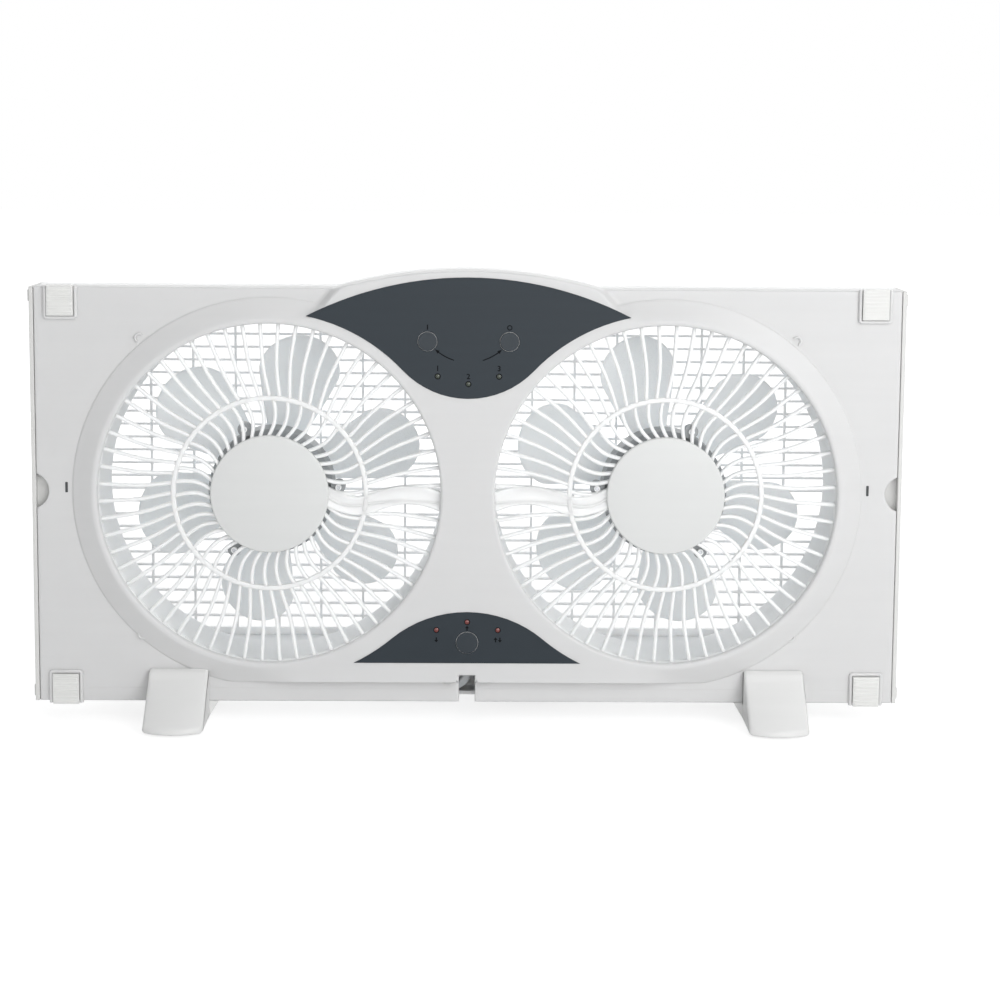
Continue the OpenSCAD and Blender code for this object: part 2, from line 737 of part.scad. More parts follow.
// Laminated ring with the windings showing at both ends
module stator() color("#8d5a35") turned_on_axis() polygon([
    [core_r + 0.5, core_t], [core_r + 3, core_t - 3], [37, core_t - 3], [39, core_t],
    [motor_r - 2.7, core_t + 1.5], [motor_r - 2.7, core_t + core_len - 1.5],
    [39, core_t + core_len], [37, core_t + core_len + 2.6],
    [core_r + 3, core_t + core_len + 2.6], [core_r + 0.5, core_t + core_len]]);

module bush_pair() for (t = [motor_t + 3, motor_back - bush_len - 1])
    turned_on_axis() polygon([
        [shaft_r + 0.03, t], [bush_r, t], [bush_r, t + bush_len], [shaft_r + 0.03, t + bush_len]]);

module shaft_bushes() color("#b08a4a") for (side = [0, 1]) on_side(side) bush_pair();

module motor_screws() color("#b9bcc0") for (side = [0, 1]) on_side(side)
    for (a = motor_lugs) {
        p = polar(lug_r, a);
        pin_at(-fan_x + p[0], fan_height + p[1], 1.35, motor_t - 2.8, motor_t + 8.5);
        pin_at(-fan_x + p[0], fan_height + p[1], 3.6, motor_t + 8, motor_t + 10.4);
    }

// Flat lead that lies behind the arm, from the motor to the middle bay
lead_front = grille_back + 0.1;
lead_w = 5;
module lead_outline(width, extra)
    translate([-fan_x, fan_height]) {
        line = concat([for (i = [2:len(arm_line) - 1]) arm_line[i]], [[rebate_r + 3.6, -3.4]]);
        polygon(concat(
            [for (p = line)
                polar(p[0] + (p[0] > rebate_r ? extra : 0), p[1] + asin(width / 2 / p[0]))],
            [for (i = [len(line) - 1:-1:0]) let (p = line[i])
                polar(p[0] + (p[0] > rebate_r ? extra : 0), p[1] - asin(width / 2 / p[0]))]));
    }
module lead_cut() slab(lead_front - fit, lead_front + 2.4 + fit)
    intersection() {
        lead_outline(lead_w + 2 * fit, 3);
        translate([-fan_x + lip_r - 2, 0]) square([20, body_h]);
    }
module motor_lead() color("#3c4046") slab(lead_front, lead_front + 2.4)
    lead_outline(lead_w, 0);

// ---------------------------------------------------------------- turning parts

module shaft() color("#c9ccd0") on_axis(shaft_r, motor_t + 4, impeller_t + impeller_hub_len + 9);

module rotor_core() color("#9aa0a6") difference() {
    on_axis(core_r, core_t, core_t + core_len);
    on_axis(shaft_r, core_t - 1, core_t + core_len + 1);
}

// Outline of one paddle blade: radius outwards, width across
blade_round = 27;                      // length of the blade's round end
blade_outline = concat(
    [[impeller_hub_r - 5, -11.5], [impeller_hub_r + 11, -16.3],
     [blade_tip_r - blade_round - 20, -24], [blade_tip_r - blade_round - 4, -30]],
    [for (a = [-78:13:78]) [blade_tip_r - blade_round + 26.6 * cos(a), 31 * sin(a)]],
    [[blade_tip_r - blade_round - 4, 30], [blade_tip_r - blade_round - 20, 24.5],
     [impeller_hub_r + 11, 17.4], [impeller_hub_r - 5, 12.5]]);

module blade() rotate([blade_pitch, 0, 0]) translate([0, 0, -blade_t / 2])
    linear_extrude(blade_t) polygon(blade_outline);

// Both impellers are the same moulding, so the right one's blades are turned back (side = 1)
// before its half is mirrored
module impeller(side) color("#ccd3da") difference() {
    union() {
        turned_on_axis() polygon([
            [0, impeller_t], [impeller_hub_r - 3, impeller_t], [impeller_hub_r, impeller_t + 3],
            [impeller_hub_r, impeller_t + impeller_hub_len],
            [impeller_hub_r - 3, impeller_t + impeller_hub_len],
            [impeller_hub_r - 3, impeller_t + 6], [9, impeller_t + 6],
            [9, impeller_t + impeller_hub_len - 2], [0, impeller_t + impeller_hub_len - 2]]);
        difference() {
            translate([-fan_x, face_y + impeller_t + impeller_hub_len / 2, axis_z])
                rotate([90, 0, 0])
                    for (k = [0:blade_count - 1])
                        rotate([0, 0, blade_phase[side] + 360 * k / blade_count])
                            mirror([0, side, 0]) blade();
            on_axis(impeller_hub_r - 3, impeller_t - 20, impeller_t + impeller_hub_len + 20);
        }
    }
    on_axis(shaft_r, impeller_t - 1, impeller_t + impeller_hub_len + 1);
}

module impeller_nut() color("#e9e9e6") difference() {
    t = impeller_t + impeller_hub_len - 2;
    union() {
        on_axis(11, t, t + 3);
        on_axis(7.5, t, t + 12.5);
    }
    on_axis(shaft_r, t - 1, impeller_t + impeller_hub_len + 9);
}

// ---------------------------------------------------------------- extenders

module end_rail() color("#cfd0ca") {
    block(-half_w, 0.2, 0, [end_rail_w, frame_depth - 0.4, body_h]);
    // bumpers at the ends, and the ledge behind the finger notch
    for (z = [5.7, body_h - 6.5])
        block(-half_w - 2, 6, z - 4, [2 + skin, 22, 8]);
    block(-half_w + end_rail_w - skin, 6, fan_height - 19, [9, 2.2, 40]);
    for (z = [guide_bottom_z, guide_top_z])
        difference() {
            block(-half_w + end_rail_w - skin, guide_t - 1.5, z - 1.2,
                  [5, guide_d + 3, guide_h + 2.4]);
            block(-half_w + end_rail_w, guide_t, z, [8, guide_d, guide_h]);
        }
}

module guide_rails() color("#c8c9c6")
    for (z = [guide_bottom_z, guide_top_z])
        block(-half_w + end_rail_w, guide_t, z,
              [half_w - end_rail_w - guide_end_x, guide_d, guide_h]);

// Pleated film as a zigzag band, folded up between its fixed end and the end rail
module bellows() color("#dcd8c4") {
    z0 = guide_bottom_z + guide_h + 1.5;
    z1 = guide_top_z - 1.5;
    start = -bellows_x - 0.3;
    finish = -half_w + end_rail_w + 5.3;
    folds = 2 * pleat_count;
    step = (finish - start) / folds;
    // the film's thickness seen along the pleat, which stands almost square to the band
    slant = film_t * pleat_d / (abs(step) + film_t);
    ridge = [for (i = [0:folds]) [start + i * step, i % 2 == 0 ? slant : pleat_d]];
    translate([0, face_y + bellows_t + 1, body_lift + z0])
        linear_extrude(z1 - z0)
            polygon(concat(ridge, [for (i = [folds:-1:0]) ridge[i] - [0, slant]]));
}

// Lock tab: ribbed face, neck through the slot, retaining foot and wedge
module lock_tab() color("#d6d6d0") {
    low = body_h + tab_rise - tab_h;
    block(-tab_x - tab_w / 2, -fit - tab_face, low, [tab_w, tab_face - 0.6, tab_h]);
    for (k = [0:7])
        block(-tab_x - tab_w / 2 + 0.8, -fit - tab_face - 0.6, low + 1.2 + k * 2.5,
              [tab_w - 1.6, 0.6 + skin, 1.1]);
    block(-tab_x - tab_w / 2, -fit - 0.6 - skin, low, [tab_w, 0.6 + skin, tab_h]);
    block(-tab_x - 4.5, -fit - skin, body_h - 16.5, [9, wall + 2 * fit + 2 * skin, tab_neck_h]);
    block(-tab_x - 6, wall + fit, body_h - 17.5, [12, 2, 8]);
    block(-tab_x - 4, wall + fit + 2 - skin, body_h - 14.8,
          [8, guide_t - wall - 2 * fit - 2 + skin, 4.4]);
}

// ---------------------------------------------------------------- feet

// Side outline of a foot: depth behind the face and height above the floor
module foot_side() {
    lift = body_lift;
    box_low = body_lift + fan_height - box_half_h;
    polygon([
        [-foot_front, pad_t], [-foot_front + 1, pad_t + 4], [-9, lift + lug_h - 6.5],
        [-5, lift + lug_h - 1.8], [-0.3, lift + lug_h], [-0.3, lift], [frame_depth + 0.3, lift],
        [frame_depth + 0.3, box_low], [body_depth - 8, box_low],
        [body_depth + foot_rear - 3, pad_t + 8], [body_depth + foot_rear, pad_t + 4],
        [body_depth + foot_rear, pad_t]]);
}

module foot_side_inner() {
    lift = body_lift;
    box_low = body_lift + fan_height - box_half_h;
    polygon([
        [-foot_front + 8, pad_t - 1], [-foot_front + 10, pad_t + 3], [-10, lift + lug_h - 12],
        [-3, lift + lug_h - 9], [-3, lift - wall], [frame_depth + 3, lift - wall],
        [frame_depth + 3, box_low - wall], [body_depth - 10, box_low - wall],
        [body_depth + foot_rear - 8, pad_t + 4], [body_depth + foot_rear - 4, pad_t - 1]]);
}

module along_x(width) rotate([90, 0, 90]) translate([0, 0, -width / 2])
    linear_extrude(width) children();

module foot(side) color("#c9cac6") {
    foot_x = foot_xs[side];
    bow = 7;
    bow_r = (foot_w * foot_w / 4 + bow * bow) / (2 * bow);
    difference() {
        intersection() {
            translate([-foot_x, face_y, 0]) along_x(foot_w) foot_side();
            union() {
                translate([-foot_x, face_y - foot_front + bow_r, -1])
                    cylinder(r = bow_r, h = body_lift + fan_height, $fn = 96);
                translate([-foot_x - foot_w / 2, face_y - foot_front + bow_r, -1])
                    cube([foot_w, foot_len, body_lift + fan_height]);
            }
        }
        translate([-foot_x, face_y, 0]) along_x(foot_w - 2 * wall) foot_side_inner();
        // the lug's back clears the sloping rim
        turned_on_axis() polygon([
            [lip_r, -console_rise - fit], [lip_r + 8, -console_rise - fit],
            [bezel_r + fit, -fit], [bezel_r + fit, 1], [lip_r, 1]]);
    }
    // inner gusset under the body and the hooks that hold the body
    translate([-foot_x + foot_w / 2 - skin, face_y + 30, 0]) rotate([90, 0, 0])
        linear_extrude(30) polygon([[0, body_lift], [6, body_lift], [0, body_lift - 11]]);
    for (t = foot_hook_t) {
        block(-foot_x - 5.5, t, -skin, [11, 2, wall + 1.4]);
        block(-foot_x - 5.5, t, wall + 0.3, [11, 3, 1.3]);
    }
    for (t = pad_places) translate([-foot_x, face_y + t, pad_t])
        cylinder(r = 7, h = body_lift - pad_t - 1, $fn = 32);
}

pad_places = [-foot_front + 20, body_depth + foot_rear - 12];
module foot_pads() color("#3a3b3d") for (side = [0, 1]) on_side(side)
    for (t = pad_places) translate([-foot_xs[side], face_y + t, 0])
        cylinder(r = 6, h = pad_t, $fn = 32);

// ---------------------------------------------------------------- cord

// Sweeps a flat oval along points; the wide axis starts along a given direction
function tangents(points) = let (n = len(points)) [for (i = [0:n - 1])
    unit(points[min(i + 1, n - 1)] - points[max(i - 1, 0)])];
function square_off(v, t) = unit(v - (v * t) * t);
function wide_axes(ts, start) = [
    for (i = 0, w = square_off(start, ts[0]); i < len(ts);
         i = i + 1, w = i < len(ts) ? square_off(w, ts[i]) : w) w];
module flat_cord(points, start, sides, lying = false) {
    ts = tangents(points);
    ws = lying ? [for (t = ts) unit(cross(t, [0, 0, 1]))] : wide_axes(ts, start);
    n = len(points);
    ring_points = [for (i = [0:n - 1]) let (up = cross(ts[i], ws[i]))
        for (k = [0:sides - 1]) let (a = 360 * (k + 0.5) / sides)
            points[i] + ws[i] * cos(a) * cord_w / 2 + up * sin(a) * cord_t / 2];
    walls = [for (i = [0:n - 2]) for (k = [0:sides - 1]) let (m = (k + 1) % sides)
        each [[i * sides + k, (i + 1) * sides + k, (i + 1) * sides + m],
              [i * sides + k, (i + 1) * sides + m, i * sides + m]]];
    polyhedron(ring_points, concat(
        [[for (k = [0:sides - 1]) k]],
        walls,
        [[for (k = [sides - 1:-1:0]) (n - 1) * sides + k]]), convexity = 10);
}

// Smooth curve through hand-set points
function spline_point(p, i, u) =
    let (n = len(p) - 1, a = p[max(i - 1, 0)], b = p[i], c = p[min(i + 1, n)], d = p[min(i + 2, n)])
    0.5 * (2 * b + (c - a) * u + (2 * a - 5 * b + 4 * c - d) * u * u
           + (3 * b - a - 3 * c + d) * u * u * u);
function spline(p, steps) = concat(
    [for (i = [0:len(p) - 2]) for (k = [0:steps - 1]) spline_point(p, i, k / steps)],
    [p[len(p) - 1]]);

// Inside the frame: from the strain relief to the terminal, past the notch
supply_route = [[-30, 33, 11], [-30, 30, 11], [-30, 26, 11], [-28, 20, 10], [-20, 13, 9],
                [-10, 10, 9], [-3.5, 9, 12], [0, 9, 18], [0, 9, 26], [0, 9, 34]];
function on_body(p) = [p[0], face_y + p[1], body_lift + p[2]];
module supply_lead() color("#c4c6c8")
    flat_cord([for (p = spline(supply_route, 3)) on_body(p)], [1, 0, 0], 8);

// Tapered sleeve through the plate
module strain_relief() color("#c4c6c8")
    translate([gland_x, face_y, body_lift + gland_z]) rotate([-90, 0, 0])
        rotate_extrude($fn = 48) polygon([
            [0, plate_t - 2.5], [6.4, plate_t - 2.5], [6.4, plate_t], [5.1, plate_t],
            [5.1, frame_depth], [7, frame_depth], [7, frame_depth + 2],
            [5, frame_depth + 3.5], [3.6, frame_depth + gland_tail],
            [0, frame_depth + gland_tail]]);

// Coil on the floor under the rear box
coil_x = 40;
coil_t = 86;
coil_in_r = 29.45;
coil_step = cord_w + 0.6;
coil_layer = cord_t + 0.6;
coil_layers = 4;
layer_turns = 1.75;
loop_rings = 24;
coil_floor = 1.3;
coil_out_r = coil_in_r + layer_turns * coil_step;

// Radius falls and rises again from layer to layer
function coil_radius(u) =
    let (k = floor(u / layer_turns), f = u - k * layer_turns)
    k % 2 == 0 ? coil_out_r - f * coil_step : coil_in_r + f * coil_step;
// Height climbs a layer within the half turn around each reversal
function ease(x) = x <= 0 ? 0 : x >= 1 ? 1 : x * x * (3 - 2 * x);
function coil_height(u) = coil_floor + cord_t / 2 + coil_layer
    * ease_sum(u, 1);
function ease_sum(u, k) = k >= coil_layers ? 0
    : ease((u - k * layer_turns + 0.25) / 0.5) + ease_sum(u, k + 1);
coil_turns = coil_layers * layer_turns;
coil_points = [for (i = [0:coil_turns * loop_rings])
    let (u = i / loop_rings, a = 90 - 360 * u, r = coil_radius(u))
    [coil_x + r * cos(a), face_y + coil_t + r * sin(a), coil_height(u)]];

// Gap between two points of the coil, less the oval's reach in that direction
function coil_gap(p, q) =
    let (d = q - p, flat = norm([d[0], d[1]]), full = norm(d))
    full - 2 * norm([flat / full * cord_w / 2, d[2] / full * cord_t / 2]);
function coil_least_gap() = min([
    for (i = [0:len(coil_points) - 1]) for (turn = [1:6]) for (o = [-3:3])
        let (j = i + turn * loop_rings + o)
        if (j < len(coil_points)) coil_gap(coil_points[i], coil_points[j])]);

module cord_coil() color("#c4c6c8") {
    echo(coil_least_gap = coil_least_gap());
    flat_cord(concat(
        [coil_points[0] - [cord_w, 0, 0]], coil_points,
        [coil_end + [cord_w, 0, 0]]), [0, 1, 0], 6, lying = true);
}
coil_end = coil_points[len(coil_points) - 1];

// Free stretch from the strain relief to the coil, and the tail from the coil to the plug
lead_route = [[-30, 66, 24.5], [-30, 72, 24.5], [-30, 79, 23], [-30, 87, 19.5], [-29, 95, 15],
              [-27, 103, 11], [-23, 111, 7.5], [-17, 118, 5], [-9, 123, 3.6], [0, 126, 3.2],
              [11, 127, 3.1], [22, 127, 3.1], [34, 127, 3.1]];
tail_route = [[46, 127, 15.7], [52, 127, 15.7], [61, 127, 14], [70, 127, 10.6], [79, 127, 6.6],
              [88, 127, 4], [96, 127, 3.5], [104, 127, 4.8], [112, 127, 6], [118, 127, 6]];
module free_cord(route)
    flat_cord([for (p = route) [p[0], face_y + p[1], p[2]]], [1, 0, 0], 8, lying = true);
module power_cord() color("#c4c6c8") {
    free_cord(lead_route);
    free_cord(tail_route);
}

module cord_tie() color("#2e3033") {
    mid = (coil_in_r + coil_out_r) / 2;
    half = (coil_out_r - coil_in_r) / 2 + cord_w / 2 + 0.5;
    high = coil_floor + coil_layers * coil_layer + 0.2;
    translate([coil_x - mid, face_y + coil_t - 4, 0]) difference() {
        translate([-half - 1, 0, 0]) cube([2 * half + 2, 8, high + 1]);
        translate([-half, -1, coil_floor - 0.3]) cube([2 * half, 10, high - coil_floor + 0.3]);
    }
}

// Flat plug at the cord's end, lying on the floor, and its two blades
plug_start = tail_route[len(tail_route) - 1];
plug_w = 24;
plug_h = 11.4;
module plug_frame() translate([plug_start[0], face_y + plug_start[1], plug_start[2]]) children();
module plug() color("#c4c6c8") plug_frame() difference() {
    rotate([90, 0, 0]) translate([0, 0, -plug_w / 2]) linear_extrude(plug_w) polygon([
        [0, -2.2], [12, -3], [14, -plug_h / 2], [32, -plug_h / 2], [34, -plug_h / 2 + 1.5],
        [34, plug_h / 2 - 1.5], [32, plug_h / 2], [14, plug_h / 2], [12, 3], [0, 2.2]]);
    for (k = [0, 1]) mirror([0, k, 0]) translate([-1, 4.2, -10])
        linear_extrude(20) polygon([[0, 0], [11, 1], [16, 5], [16, 12], [0, 12]]);
    for (y = [-6.35, 6.35]) translate([26, y - 0.8, -3.2]) cube([10, 1.6, 6.4]);
}
module plug_blades() color("#c9a85c") plug_frame()
    for (y = [-6.35, 6.35]) translate([28, y - 0.75, -3.1]) cube([21, 1.5, 6.2]);

// ---------------------------------------------------------------- the parts

front_frame();
upper_panel();
lower_panel();
rear_housing();
rear_grille();
on_side(0) front_grille();  // front_grille_left
on_side(1) front_grille();  // front_grille_right
on_side(0) hub_cap();  // hub_cap_left
on_side(1) hub_cap();  // hub_cap_right
on_side(0) front_shell();  // motor_front_shell_left
on_side(1) front_shell();  // motor_front_shell_right
on_side(0) rear_shell();  // motor_rear_shell_left
on_side(1) rear_shell();  // motor_rear_shell_right
on_side(0) stator();  // stator_left
on_side(1) stator();  // stator_right
shaft_bushes();
motor_screws();
on_side(0) motor_lead();  // motor_lead_left
on_side(1) motor_lead();  // motor_lead_right
speed_board();
mode_board();
board_screws();
lamps(speed_lamp_places);  // speed_lamps
lamps(mode_lamp_places);  // mode_lamps
remote_sensor();
run_capacitors();
supply_lead();
strain_relief();
power_cord();
cord_coil();
cord_tie();
plug();
plug_blades();
on_side(0) foot(0);  // foot_left
on_side(1) foot(1);  // foot_right
foot_pads();
case_screws();
grille_screws();
on_side(0) impeller(0);  // impeller_left
on_side(1) impeller(1);  // impeller_right
on_side(0) shaft();  // shaft_left
on_side(1) shaft();  // shaft_right
on_side(0) rotor_core();  // rotor_core_left
on_side(1) rotor_core();  // rotor_core_right
on_side(0) impeller_nut();  // impeller_nut_left
on_side(1) impeller_nut();  // impeller_nut_right
on_side(0) end_rail();  // end_rail_left
on_side(1) end_rail();  // end_rail_right
on_side(0) guide_rails();  // guide_rails_left
on_side(1) guide_rails();  // guide_rails_right
on_side(0) bellows();  // bellows_left
on_side(1) bellows();  // bellows_right
on_side(0) lock_tab();  // lock_tab_top_left
on_side(1) lock_tab();  // lock_tab_top_right
on_level(1) on_side(0) lock_tab();  // lock_tab_bottom_left
on_level(1) on_side(1) lock_tab();  // lock_tab_bottom_right
color("#47525a") push_button(-button_spacing / 2, button_z, button_r);  // speed_button
color("#47525a") push_button(button_spacing / 2, button_z, button_r);  // off_button
color("#47525a") push_button(0, mode_button_z, mode_button_r);  // mode_button
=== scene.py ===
"""Looks of the twin window fan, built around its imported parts.

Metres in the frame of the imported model: X along the width, Y from front to
back, Z up from the floor. Points in the code are millimetres on the body:
x along the width, t the depth behind the face, z the height above the body's
lower edge. place() turns them into metres.
"""

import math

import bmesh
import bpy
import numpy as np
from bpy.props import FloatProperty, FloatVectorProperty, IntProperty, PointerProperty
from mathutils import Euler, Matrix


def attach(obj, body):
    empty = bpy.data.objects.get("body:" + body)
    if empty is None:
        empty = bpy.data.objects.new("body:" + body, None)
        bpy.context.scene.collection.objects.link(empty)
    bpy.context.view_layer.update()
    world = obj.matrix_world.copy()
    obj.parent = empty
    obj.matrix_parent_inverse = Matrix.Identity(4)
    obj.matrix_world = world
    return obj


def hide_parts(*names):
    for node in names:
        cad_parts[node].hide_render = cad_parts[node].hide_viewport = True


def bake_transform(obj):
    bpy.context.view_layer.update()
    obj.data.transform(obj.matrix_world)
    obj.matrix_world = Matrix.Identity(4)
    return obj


bl_info = {
    "name": "Twin window fan",
    "version": (1, 0, 0),
    "blender": (4, 5, 0),
    "location": "3D View > Sidebar > Window fan",
    "description": "Dresses the packed window fan with its shells, grilles, cord and finishes",
    "category": "Object",
}

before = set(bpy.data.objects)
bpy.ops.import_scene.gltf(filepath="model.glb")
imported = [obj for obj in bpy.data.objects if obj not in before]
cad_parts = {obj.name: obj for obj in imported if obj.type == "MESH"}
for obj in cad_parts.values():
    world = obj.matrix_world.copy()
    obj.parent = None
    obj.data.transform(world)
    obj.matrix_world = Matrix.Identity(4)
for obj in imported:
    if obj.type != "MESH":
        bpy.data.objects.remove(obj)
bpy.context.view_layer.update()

SIDES = (("left", 1), ("right", -1))
FACE_Y = -47.0          # the face's place along Y
BODY_LIFT = 13.5        # the body's lower edge above the floor
BODY_TOP = 287.0
FACE_END = 294.9        # where the face ends beside the end rails
BITE_X, BITE_Z, BITE_R = 299, 147, 12.4     # the finger bite in each end
NOTCH_X, NOTCH_Z = 5.5, 20.5                # half width and top of the cord's notch
ARCH_Z, ARCH_R = -37.96, 337.46             # the body's upper edge over the console
FAN_X, FAN_Z = 135.5, 146.0                 # the axis of each fan
LIP_R, REBATE_R, RIM_WIDE = 117.0, 120.4, 20.5
RISE = 7.0              # how far the rims and the console stand forward
CONSOLE_Z, CONSOLE_R, CONSOLE_LOW = 51.5, 248.0, 15.0   # its circle and its lower end
WALL = 2.5
GRILLE_FRONT, GRILLE_BACK = -1.7, 2.3
HUB_R, RING_IN, RING_OUT = 40.5, 64.3, 67.3     # ends of the grille's inner and outer bars
TAB_X, TAB_WIDE, TAB_TALL, TAB_PROUD, TAB_GAP = 276.5, 17.8, 21, 1.5, 0.3
FOOT_X = {"left": 198.5, "right": 212.0}
MERGE = 2e-6            # metres within which two points of a mesh become one


def linear(red, green, blue):
    """Screen colour from 0 to 255 as linear light: ((c / 255 + 0.055) / 1.055) ^ 2.4."""
    return tuple(((c / 255 + 0.055) / 1.055) ** 2.4 for c in (red, green, blue))


def colour(label, text, rgb):
    return FloatVectorProperty(
        name=label, description=text, default=linear(*rgb), subtype="COLOR", size=3, min=0, max=1
    )


def length(label, text, value, low, high):
    return FloatProperty(
        name=label, description=text, default=value / 1000, min=low / 1000, max=high / 1000,
        unit="LENGTH", subtype="DISTANCE", precision=4,
    )


def count(label, text, value, low, high):
    return IntProperty(name=label, description=text, default=value, min=low, max=high)


def power(label, text, watts):
    return FloatProperty(name=label, description=text, default=watts, min=0, max=100, unit="POWER")


# ---- settings


class FanShellSizes(bpy.types.PropertyGroup):
    edge_round: length("Edge rounding", "Radius that softens the face's outer edge", 1.2, 0.5, 2)
    lip_round: length("Lip rounding", "Radius of the lip round each opening", 2.0, 1, 3)
    rim_start: length("Rim start", "Radius at which the rim starts to slope", 120.5, 119, 126)
    rim_end: length("Rim end", "Radius at which the slope ends in a low step", 133.6, 131, 136)
    rim_step: length("Rim step", "Height of the low step round the rim", 1.2, 0.6, 2)
    console_slope: length("Console slope", "Width of the slope round the console", 2.4, 1, 4)
    guide_high: length("Tab guide height", "How far a lock tab's guide stands forward", 2.2, 1, 3)
    guide_wide: length("Tab guide width", "Width of the guide round a lock tab", 2.4, 1, 3)


class FanGrilleSizes(bpy.types.PropertyGroup):
    bar_wide: length("Bar width", "Width of a grille bar", 2.5, 1.8, 2.8)
    inner_bars: count("Inner bars", "Bars from the hub to the middle ring", 42, 36, 48)
    outer_bars: count("Outer bars", "Bars from the middle ring to the rim", 60, 54, 66)
    arm_wide: length("Arm width", "Width of the arm over the motor's lead", 13, 10, 15)
    arm_channel: length("Arm channel", "Depth of the channel along the arm", 1.0, 0, 2)
    cap_r: length("Cap radius", "Radius of the cap on the hub", 40.5, 39, 43)
    cap_dome: length("Cap dome", "Height of the cap's dome", 3.0, 1, 4)


class FanBladeSizes(bpy.types.PropertyGroup):
    blades: count("Blades", "Blades on each impeller", 6, 5, 7)
    thick: length("Thickness", "Thickness of a blade", 2.0, 1.6, 2.6)
    camber: length("Camber", "Bow across a blade", 2.6, 0, 5)
    pitch: FloatProperty(name="Pitch", description="Angle of the blades to the fan's plane",
                         default=math.radians(26), subtype="ANGLE")


class FanCordSizes(bpy.types.PropertyGroup):
    wide: length("Width", "Width of the flat two-core cord", 6.0, 5, 7)
    thick: length("Thickness", "Thickness of the flat cord", 3.6, 3, 4)
    pleats: count("Pleats", "Pleats of each extender's film", 11, 8, 12)
    film: length("Film", "Thickness of the pleated film", 0.34, 0.2, 0.8)


class FanColours(bpy.types.PropertyGroup):
    body: colour("Body", "Moulded shell", (216, 216, 216))
    housing: colour("Housing", "Ducts and rear box", (252, 253, 253))
    grille: colour("Grille", "Front grille bars", (250, 251, 251))
    cap: colour("Cap", "Hub caps", (219, 220, 219))
    panel: colour("Panel", "Control panels and buttons", (48, 55, 61))
    # the ink also colours the rings of painted shade behind the gaps round the buttons and lamps
    ink: colour("Ink", "Printed marks and painted gap shade", (6, 8, 12))
    blade: colour("Blade", "Impellers", (242, 249, 255))
    motor: colour("Motor", "Motor shells", (160, 163, 165))
    rail: colour("Rail", "End rails", (217, 217, 215))
    # the feet are the shell's white plastic set lighter than the shell (216): painted light for
    # the lamp light the low feet miss
    foot: colour("Foot", "Clip-on feet", (228, 228, 227))
    cord: colour("Cord", "Flat cord, plug and sleeve", (196, 199, 201))
    # a lighter copy of the rail's plastic: painted light that makes up for the shade in the tabs'
    # ribs
    tab: colour("Tab", "Lock tabs", (231, 231, 229))
    film: colour("Film", "Pleated film", (222, 217, 199))
    floor: colour("Floor", "Floor", (250, 250, 250))


class FanStageSettings(bpy.types.PropertyGroup):
    lens: FloatProperty(name="Lens", description="Focal length on a 36 mm sensor", default=73.83,
                        unit="CAMERA")
    sky: FloatProperty(name="Sky", description="Level of the even light", default=0.45,
                       min=0, max=2)
    key: power("Key", "Power of the soft box at the upper right", 11.5)
    fill: power("Front", "Power of the soft box beside the camera", 13)
    left: power("Left", "Power of the soft box at the left", 1.2)
    back: power("Back", "Power of the soft box behind the fan", 18)


GROUPS = {
    "fan_shell": FanShellSizes,
    "fan_grille": FanGrilleSizes,
    "fan_blade": FanBladeSizes,
    "fan_cord": FanCordSizes,
    "fan_colours": FanColours,
    "fan_stage": FanStageSettings,
}


def mm(value):
    """A length property in millimetres."""
    return value * 1000


# ---- shapes


def place(points):
    """Millimetres on the body to metres: X = x, Y = t - 47, Z = z + 13.5, over 1000."""
    return (np.asarray(points, float) + (0.0, FACE_Y, BODY_LIFT)) / 1000


def stacked(*values):
    """Numbers and arrays side by side, as points or faces."""
    return np.stack(np.broadcast_arrays(*values), -1)


def polar(radius, angle, x=0.0, z=0.0):
    """Points (x, z) about a centre: x + r cos a, z + r sin a."""
    return stacked(x + radius * np.cos(angle), z + radius * np.sin(angle))


def lifted(flat, t):
    """Points (x, z) of the face's plane, set at depth t."""
    return stacked(flat[..., 0], t, flat[..., 1])


def grid_faces(rows, columns, round_rows=False, round_columns=True):
    """Four-cornered faces over a grid numbered row by row: (i, j), (i, j+1), (i+1, j+1), (i+1, j).
    A round direction joins its last line to its first."""
    i = np.arange(rows if round_rows else rows - 1)[:, None]
    j = np.arange(columns if round_columns else columns - 1)[None, :]
    i2, j2 = (i + 1) % rows, (j + 1) % columns
    corners = (i * columns + j, i * columns + j2, i2 * columns + j2, i2 * columns + j)
    return stacked(*corners).reshape(-1, 4)


def tubes(sections):
    """Closed tubes from sections of shape (tubes, rings, corners, 3): walls between the rings and
    a flat face over each end."""
    count, rings, corners = sections.shape[:3]
    first = (np.arange(count) * rings * corners)[:, None, None]
    walls = (grid_faces(rings, corners)[None] + first).reshape(-1, 4)
    ring = np.arange(corners)[None, :] + first[:, 0]
    return sections.reshape(-1, 3), [walls, ring[:, ::-1], ring + (rings - 1) * corners]


def plate(outline, front, back):
    """Thin plate with a flat outline of x, z between two depths."""
    outline = np.asarray(outline, float)
    return tubes(np.stack([lifted(outline, front), lifted(outline, back)])[None])


def turned(profile, centre=(-FAN_X, FAN_Z), steps=96):
    """Profile of radius r and depth t turned about an axis along t:
    x = cx + r cos a, z = cz + r sin a. The profile is a closed loop."""
    r, t = np.asarray(profile, float).T
    a = np.linspace(0, 2 * np.pi, steps, endpoint=False)
    x = centre[0] + np.outer(np.cos(a), r)
    z = centre[1] + np.outer(np.sin(a), r)
    return stacked(x, t, z).reshape(-1, 3), [grid_faces(steps, len(r), True, True)]


